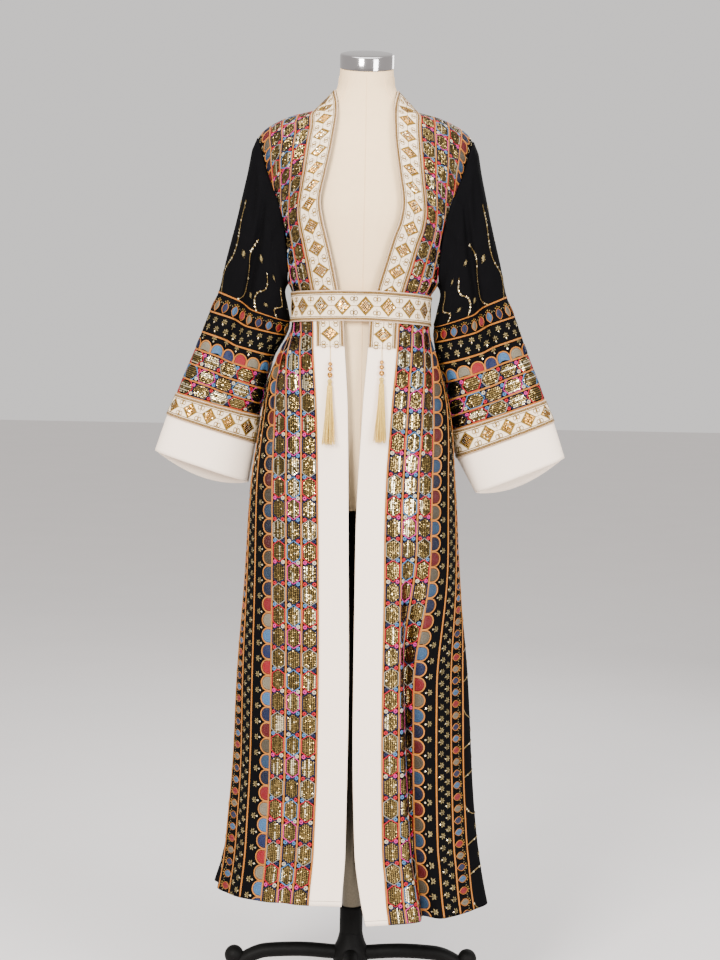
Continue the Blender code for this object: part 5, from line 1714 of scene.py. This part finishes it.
# Dull colours of the fills and their lighter copies with painted sheen, in the order in which they follow
# each other
SCALLOP_FILLS = ((RED_CHAIN, GREY_CHAIN, STEEL, NAVY), (SHEEN_LIT_RED_CHAIN, SHEEN_LIT_GREY_CHAIN, SHEEN_LIT_STEEL_CHAIN, SHEEN_LIT_NAVY_CHAIN))
EYE_FILLS = ((RED_CHAIN, GREY_CHAIN, NAVY, STEEL), (SHEEN_LIT_RED_CHAIN, SHEEN_LIT_GREY_CHAIN, SHEEN_LIT_NAVY_CHAIN, SHEEN_LIT_STEEL_CHAIN))
# How much painted sheen the fills of each front get, from its hem up: heights and shares
PAINTED_SHEEN = {
    -1: ((0.22, 0.40, 0.44, 0.53, 0.57, 0.72, 0.78, 1.03, 1.12, 1.65),
         (1.0, 1.0, 0.2, 0.2, 1.0, 0.9, 0.0, 0.0, 0.3, 0.2)),
    1: ((0.20, 0.34, 0.50, 0.62, 0.80, 0.95, 1.20, 1.65), (0.2, 0.1, 0.1, 0.5, 0.2, 0.1, 0.1, 0.2)),
}

# How many strings of sequins get the painted glint colour on each front, from its hem up: heights and
# shares
PAINTED_GLINT_SHARES = {
    -1: ((0.20, 0.55, 0.75, 1.10, 1.22, 1.65), (0.45, 0.45, 1.2, 1.2, 0.5, 0.3)),
    1: ((0.20, 0.45, 0.70, 1.10, 1.22, 1.65), (0.2, 0.3, 1.0, 1.0, 0.5, 0.3)),
}


def steady(share):
    """The same share at every place, for the painted sheen and painted highlights."""
    return lambda places: np.full(len(places), share)


def border(work, lines, start, end, phases, pitches, sheen_share, eye_sheen_share, shine):
    """Whole border between two ends: hexagons, scallops, sprigs and ovals, from the trim outwards.

    lines holds the place across of each cord: four round the hexagons, then the two of the sprigs and ovals
    and the last one.
    """
    for across in lines:
        border_cord(work, across, start, end)
    for column in range(HEXAGON_COLUMNS):
        near, far = lines[column:column + 2]
        hexagon_column(work, (near + far) / 2, start, end, pitches["hexagon"], phases["hexagon"],
                       HEXAGON_COLOURS[column % 2], RING_COLOURS[column % 2], (far - near) / COLUMN_PITCH,
                       shine)
    scallop_row(work, lines[3], start, end, pitches["scallop"], phases["scallop"], SCALLOP_FILLS, sheen_share)
    pitch, phase = pitches["leaf"], phases["eye"]
    for share, shift in ((0.31, 0.0), (0.70, pitch / 2)):
        sprig_row(work, lines[4] + (lines[5] - lines[4]) * share, start, end, pitch, phase + shift)
    eye_row(work, lines[5] + 0.0145, start, end, pitch, phase, EYE_FILLS, eye_sheen_share)


# Stops of three vines, and places of the small buds between them: outwards from the border, and along it
VINES = (
    ((0.000, 0.033), (0.015, 0.027), (0.036, 0.022), (0.057, 0.034), (0.078, 0.046), (0.107, 0.047),
     (0.146, 0.040), (0.186, 0.041)),
    ((0.000, 0.078), (0.006, 0.090), (0.026, 0.100), (0.048, 0.102), (0.086, 0.098), (0.111, 0.090),
     (0.132, 0.092), (0.150, 0.101), (0.168, 0.106)),
    ((0.000, 0.150), (0.012, 0.145), (0.031, 0.140), (0.060, 0.146), (0.078, 0.160), (0.105, 0.165),
     (0.140, 0.158)),
)
BUDS = ((0.036, 0.002), (0.034, 0.122), (0.165, 0.012), (0.100, 0.072), (0.150, 0.132))


def bud():
    """Pointed oval bud with small leaves round it."""
    leaves = [turned(leaf(0.0036, 0.0015), angle, (shift, side * 0.0022)) for side in (-1, 1)
              for angle, shift in ((side * 50, 0.0030), (side * 60, -0.0012), (side * 115, -0.0048))]
    return combined(dome(oval(0.0072, 0.0030, 6, 0.8), 0.0010), *leaves)


def vine_rows(work, base, start, end, pitch, phase, mirror=1.0):
    """Thin gold vines with sequins, a share of them painted as highlights, rising from the border's last
    cord, and buds between them.
    """
    size = (mirror, pitch / VINE_REPEAT)
    for corner in repeats(base, start, end, pitch, phase)[1]:
        for stops in VINES:
            route = through_points(np.array(stops) * size + corner, 26)
            for _ in range(3):
                route[1:-1] = (route[:-2] + route[1:-1] * 2 + route[2:]) / 4
            work["gold"].draw(thread(route, "vine"), VINE_GOLD)
            spots = through_points(route, 34)[1:]
            # Painted highlights: a quarter of the vine's sequins take the pale glint colour, and are larger
            painted_highlight = RNG.random(len(spots)) < 0.25
            foil = np.where(painted_highlight[:, None], np.array(PAINTED_GLINT), np.array(OLIVE))
            sew_sequins(work, "vine", spots, foil, np.where(painted_highlight, 1.35, 0.8))
        work["gold"].stamp(bud(), np.array(BUDS) * size + corner, shades(LEAF_GOLD, len(BUDS), 0.3),
                           turns=RNG.normal(0.0, 0.25, len(BUDS)))


def under_belt(surface, down):
    """Whether lengths down a front lie under the belt."""
    top, foot = surface.down_at(BELT_TOP), surface.down_at(BELT_FOOT)
    return (down > top + BELT_MARGIN) & (down < foot - BELT_MARGIN)


def drawn_in(length, pivot, rate):
    """Lengths above a pivot drawn in towards it."""
    return np.where(length < pivot, pivot - (pivot - length) * rate, length)


def front_layout(surface, flat):
    """Place of the border's points on a front: its columns start just beyond the trim or the band."""
    x, down, lift = flat.T
    belt = surface.down_at(BELT_MIDDLE)
    down = drawn_in(down, belt, BODICE_REPEAT)
    skirt = ease(down, belt - COLUMN_SHIFT, belt + COLUMN_SHIFT)
    start = COLUMN_START + (band_width(surface, down) + BAND_MARGIN - COLUMN_START) * skirt
    reach = surface.reach_at(down) - SEAM_MARGIN
    hem = surface.down[-1] - SEAM_MARGIN
    across = start + x * (1.0 + SKIRT_SPREAD * skirt)
    shown = (across < reach) & (down > SEAM_MARGIN) & (down < hem) & ~under_belt(surface, down)
    return np.minimum(across, reach), np.clip(down, SEAM_MARGIN, hem), lift, shown


def trim_layout(surface, flat):
    """Place of the diamonds' points on a front's trim, which steps up onto the band under the belt."""
    across, length, lift = flat.T
    bust = surface.length_at(BUST_HEIGHT, TRIM_COLUMN)
    down = surface.down_from(drawn_in(length, bust, CHEST_REPEAT), TRIM_COLUMN)
    band = surface.down_at(BELT_MIDDLE)
    step_up = (BAND + GAP) * ease(down, band - STEP_UP, band)
    shown = ~under_belt(surface, down) & (length > bust - bust / CHEST_REPEAT)
    return across, np.maximum(down, TRIM_MARGIN), lift + GAP + TRIM + step_up, shown


def back_trim_layout(surface, flat):
    """Place of the diamonds' points on the trim behind the neck."""
    x, across, lift = flat.T
    foot = surface.down_at(BACK_TRIM_FOOT, 0)
    down = np.clip(foot * (1.0 - x / TRIM_WIDTH), TRIM_MARGIN, foot)
    reach = surface.reach_at(down) - TRIM_MARGIN
    shown = (across > TRIM_MARGIN) & (across < reach)
    return np.clip(across, TRIM_MARGIN, reach), down, lift + GAP + TRIM, shown


def band_layout(surface, flat):
    """Place of stitches on the plain band."""
    across, down, lift = flat.T
    return across, down, lift + GAP + BAND, np.ones(len(flat), bool)


def seam_layout(mirror):
    """Layout on the back, measured from its left side seam or, mirrored, from its right one."""
    def place(surface, flat):
        x, down, lift = flat.T
        hem = surface.down[-1] - SEAM_MARGIN
        reach = surface.reach_at(down)
        across = x if mirror > 0 else reach + x
        shown = (across > SEAM_MARGIN) & (across < reach - SEAM_MARGIN) & (down < hem)
        return np.clip(across, SEAM_MARGIN, reach - SEAM_MARGIN), np.minimum(down, hem), lift, shown
    return place


def round_layout(length, lift_by, offset=0.0, foot=0.0):
    """Layout round a closed surface: y runs round it and x runs up from a line on it."""
    def place(surface, flat):
        x, y, lift = flat.T
        down = np.clip(foot - x, surface.down[0], surface.down[-1])
        return y / length + offset, down, lift + lift_by, foot - x > surface.down[0]
    return place


def lay_work(work, name, surface, layout, materials):
    """Lay the four kinds of stitches, each as a piece of its own."""
    for kind, stitches in work.items():
        stitches.lay(f"{kind}_{name}", surface, layout, materials[kind])


def embroider_front(surface, side, word, materials):
    """Border down a front, from the shoulder to the hem."""
    work = new_work()
    end = float(surface.down[-1])
    lines = [COLUMN_PITCH * number for number in range(HEXAGON_COLUMNS + 1)]
    lines += [LEAF_LINE, EYE_LINE, BORDER_END]
    reds = RED_HEIGHTS[side]
    phases = {kind: surface.down_at(reds[kind], RED_COLUMNS[kind]) for kind in reds}
    pitches = {"hexagon": HEXAGON_PITCH, "scallop": SCALLOP_PITCH, "leaf": LEAF_PITCH}
    belt = surface.down_at(BELT_MIDDLE)
    top = belt - belt / BODICE_REPEAT

    def by_height(table):
        heights = surface.grid[:, HEIGHT_COLUMN, 2]
        return lambda places: np.interp(np.interp(places, surface.down, heights), *table)

    # Painted sheen on the fills and painted highlights on the sequins follow the heights in their tables
    border(work, lines, top - 0.004, end + 0.004, phases, pitches, by_height(PAINTED_SHEEN[side]), steady(0.8),
           by_height(PAINTED_GLINT_SHARES[side]))
    vine_rows(work, BORDER_END, top, end, VINE_REPEAT, 0.02)
    lay_work(work, "border_" + word, surface, front_layout, materials)
    trim = new_work()
    tail, belt, bust, first, last = (surface.length_at(height, TRIM_COLUMN) for height in (
        tail_height(side), BELT_MIDDLE, BUST_HEIGHT, TRIM_DIAMOND, TAIL_DIAMOND))
    diamond_strip(trim, TRIM_WIDTH, bust - bust / CHEST_REPEAT, belt, first)
    diamond_strip(trim, TRIM_WIDTH, belt, tail - 0.0008, last)
    lay_work(trim, "trim_" + word, surface, trim_layout, materials)


def embroider_back(surface, materials):
    """Vines on the back's skirt, from each side seam."""
    start = surface.down_at(BELT_FOOT) + 0.04
    for word, mirror in (("left", 1.0), ("right", -1.0)):
        work = new_work()
        vine_rows(work, 0.0, start, float(surface.down[-1]) - 0.05, VINE_REPEAT, start + 0.02, mirror)
        lay_work(work, "back_" + word, surface, seam_layout(mirror), materials)


def stitch_hem(surface, word, materials):
    """Row of stitches that holds up the hem of a front's band."""
    work = new_work()
    level = float(surface.down[-1]) - 0.0085
    width = float(band_width(surface, level))
    path = side_by_side(level, np.linspace(0.0010, width - 0.0010, 12))[:, ::-1]
    work["silk"].draw(thread(path, "hem"), HEM_STITCH)
    lay_work(work, "hem_" + word, surface, band_layout, materials)


def embroider_sleeve(surface, word, materials):
    """Border up a sleeve from its cuff's trim, and the diamonds of the trim itself."""
    work = new_work()
    length = SLEEVE_REPEATS * HEXAGON_PITCH
    phases = {"hexagon": 0.0266, "scallop": 0.0120, "eye": 0.008}
    pitches = {"hexagon": HEXAGON_PITCH, "scallop": length / 15, "leaf": length / 20}
    lines = [*SLEEVE_COLUMNS, SLEEVE_LEAF_LINE, SLEEVE_EYE_LINE, SLEEVE_BORDER_END]
    # Shares of painted sheen on the scallops and ovals, and of painted highlights on the hexagons' sequins
    border(work, lines, 0.0, length, phases, pitches, steady(1.0), steady(0.7), steady(1.0))
    vine_rows(work, SLEEVE_BORDER_END, 0.0, length, length / 3, 0.0)
    lay_work(work, "sleeve_" + word, surface, round_layout(length, 0.0), materials)
    diamonds_round("cuff_" + word, surface, SLEEVE_REPEATS, 0.52, GAP + TRIM, 0.0, materials)


def diamonds_round(name, surface, count, first, lift, offset, materials):
    """Diamonds all round a closed trim."""
    trim = new_work()
    width = float(surface.down[-1])
    length = count * DIAMOND_PITCH
    diamond_strip(trim, width, 0.0, length, DIAMOND_PITCH * first)
    lay_work(trim, name, surface, round_layout(length, lift, offset, width), materials)


def embroider_belt(surface, materials):
    """Diamonds all round the belt."""
    offset = BELT_DIAMOND / float(surface.reach[0]) - 0.5 / BELT_REPEATS
    diamonds_round("belt", surface, BELT_REPEATS, 0.5, BELT_CLOTH, offset, materials)


def embroider_back_neck(surface, materials):
    """Diamonds of the trim behind the neck."""
    trim = new_work()
    reach = float(surface.reach[0])
    diamond_strip(trim, TRIM_WIDTH, 0.0, reach + 0.04, reach / 2)
    lay_work(trim, "trim_back", surface, back_trim_layout, materials)


def main():
    """Make the camera and cords first, then the form, the cloth and its needlework."""
    makers = {"crepe": crepe_cloth, "cream": cream_cloth, "ribbon": ribbon_cloth, "silk": silk,
              "chain": chain_fill, "gold": gold_thread, "sequin": sequin_foil, "tassel": tassel_silk,
              "bead": bead_gold, "linen": linen_cover, "chrome": chrome_plate, "pole": bronzed_tube,
              "iron": cast_iron}
    materials = {name: make() for name, make in makers.items()}
    add_camera()
    add_studio()
    fronts = {side: front_surface(side) for side in WORDS}
    for side, word in WORDS.items():
        add_pendant(fronts[side], side, word, materials)
    back = back_surface(fronts)
    sleeves = {side: sleeve_surface(side) for side in WORDS}
    cuffs = {side: cuff_surface(side) for side in WORDS}
    belt = belt_surface(fronts[1], fronts[-1], back)
    add_form(materials)
    add_stand(materials)
    add_panels(fronts, back, sleeves, cuffs, belt, materials)
    for side, word in WORDS.items():
        embroider_front(fronts[side], side, word, materials)
        stitch_hem(fronts[side], word, materials)
        embroider_sleeve(sleeves[side], word, materials)
    embroider_belt(belt, materials)
    embroider_back_neck(back, materials)
    embroider_back(back, materials)


main()
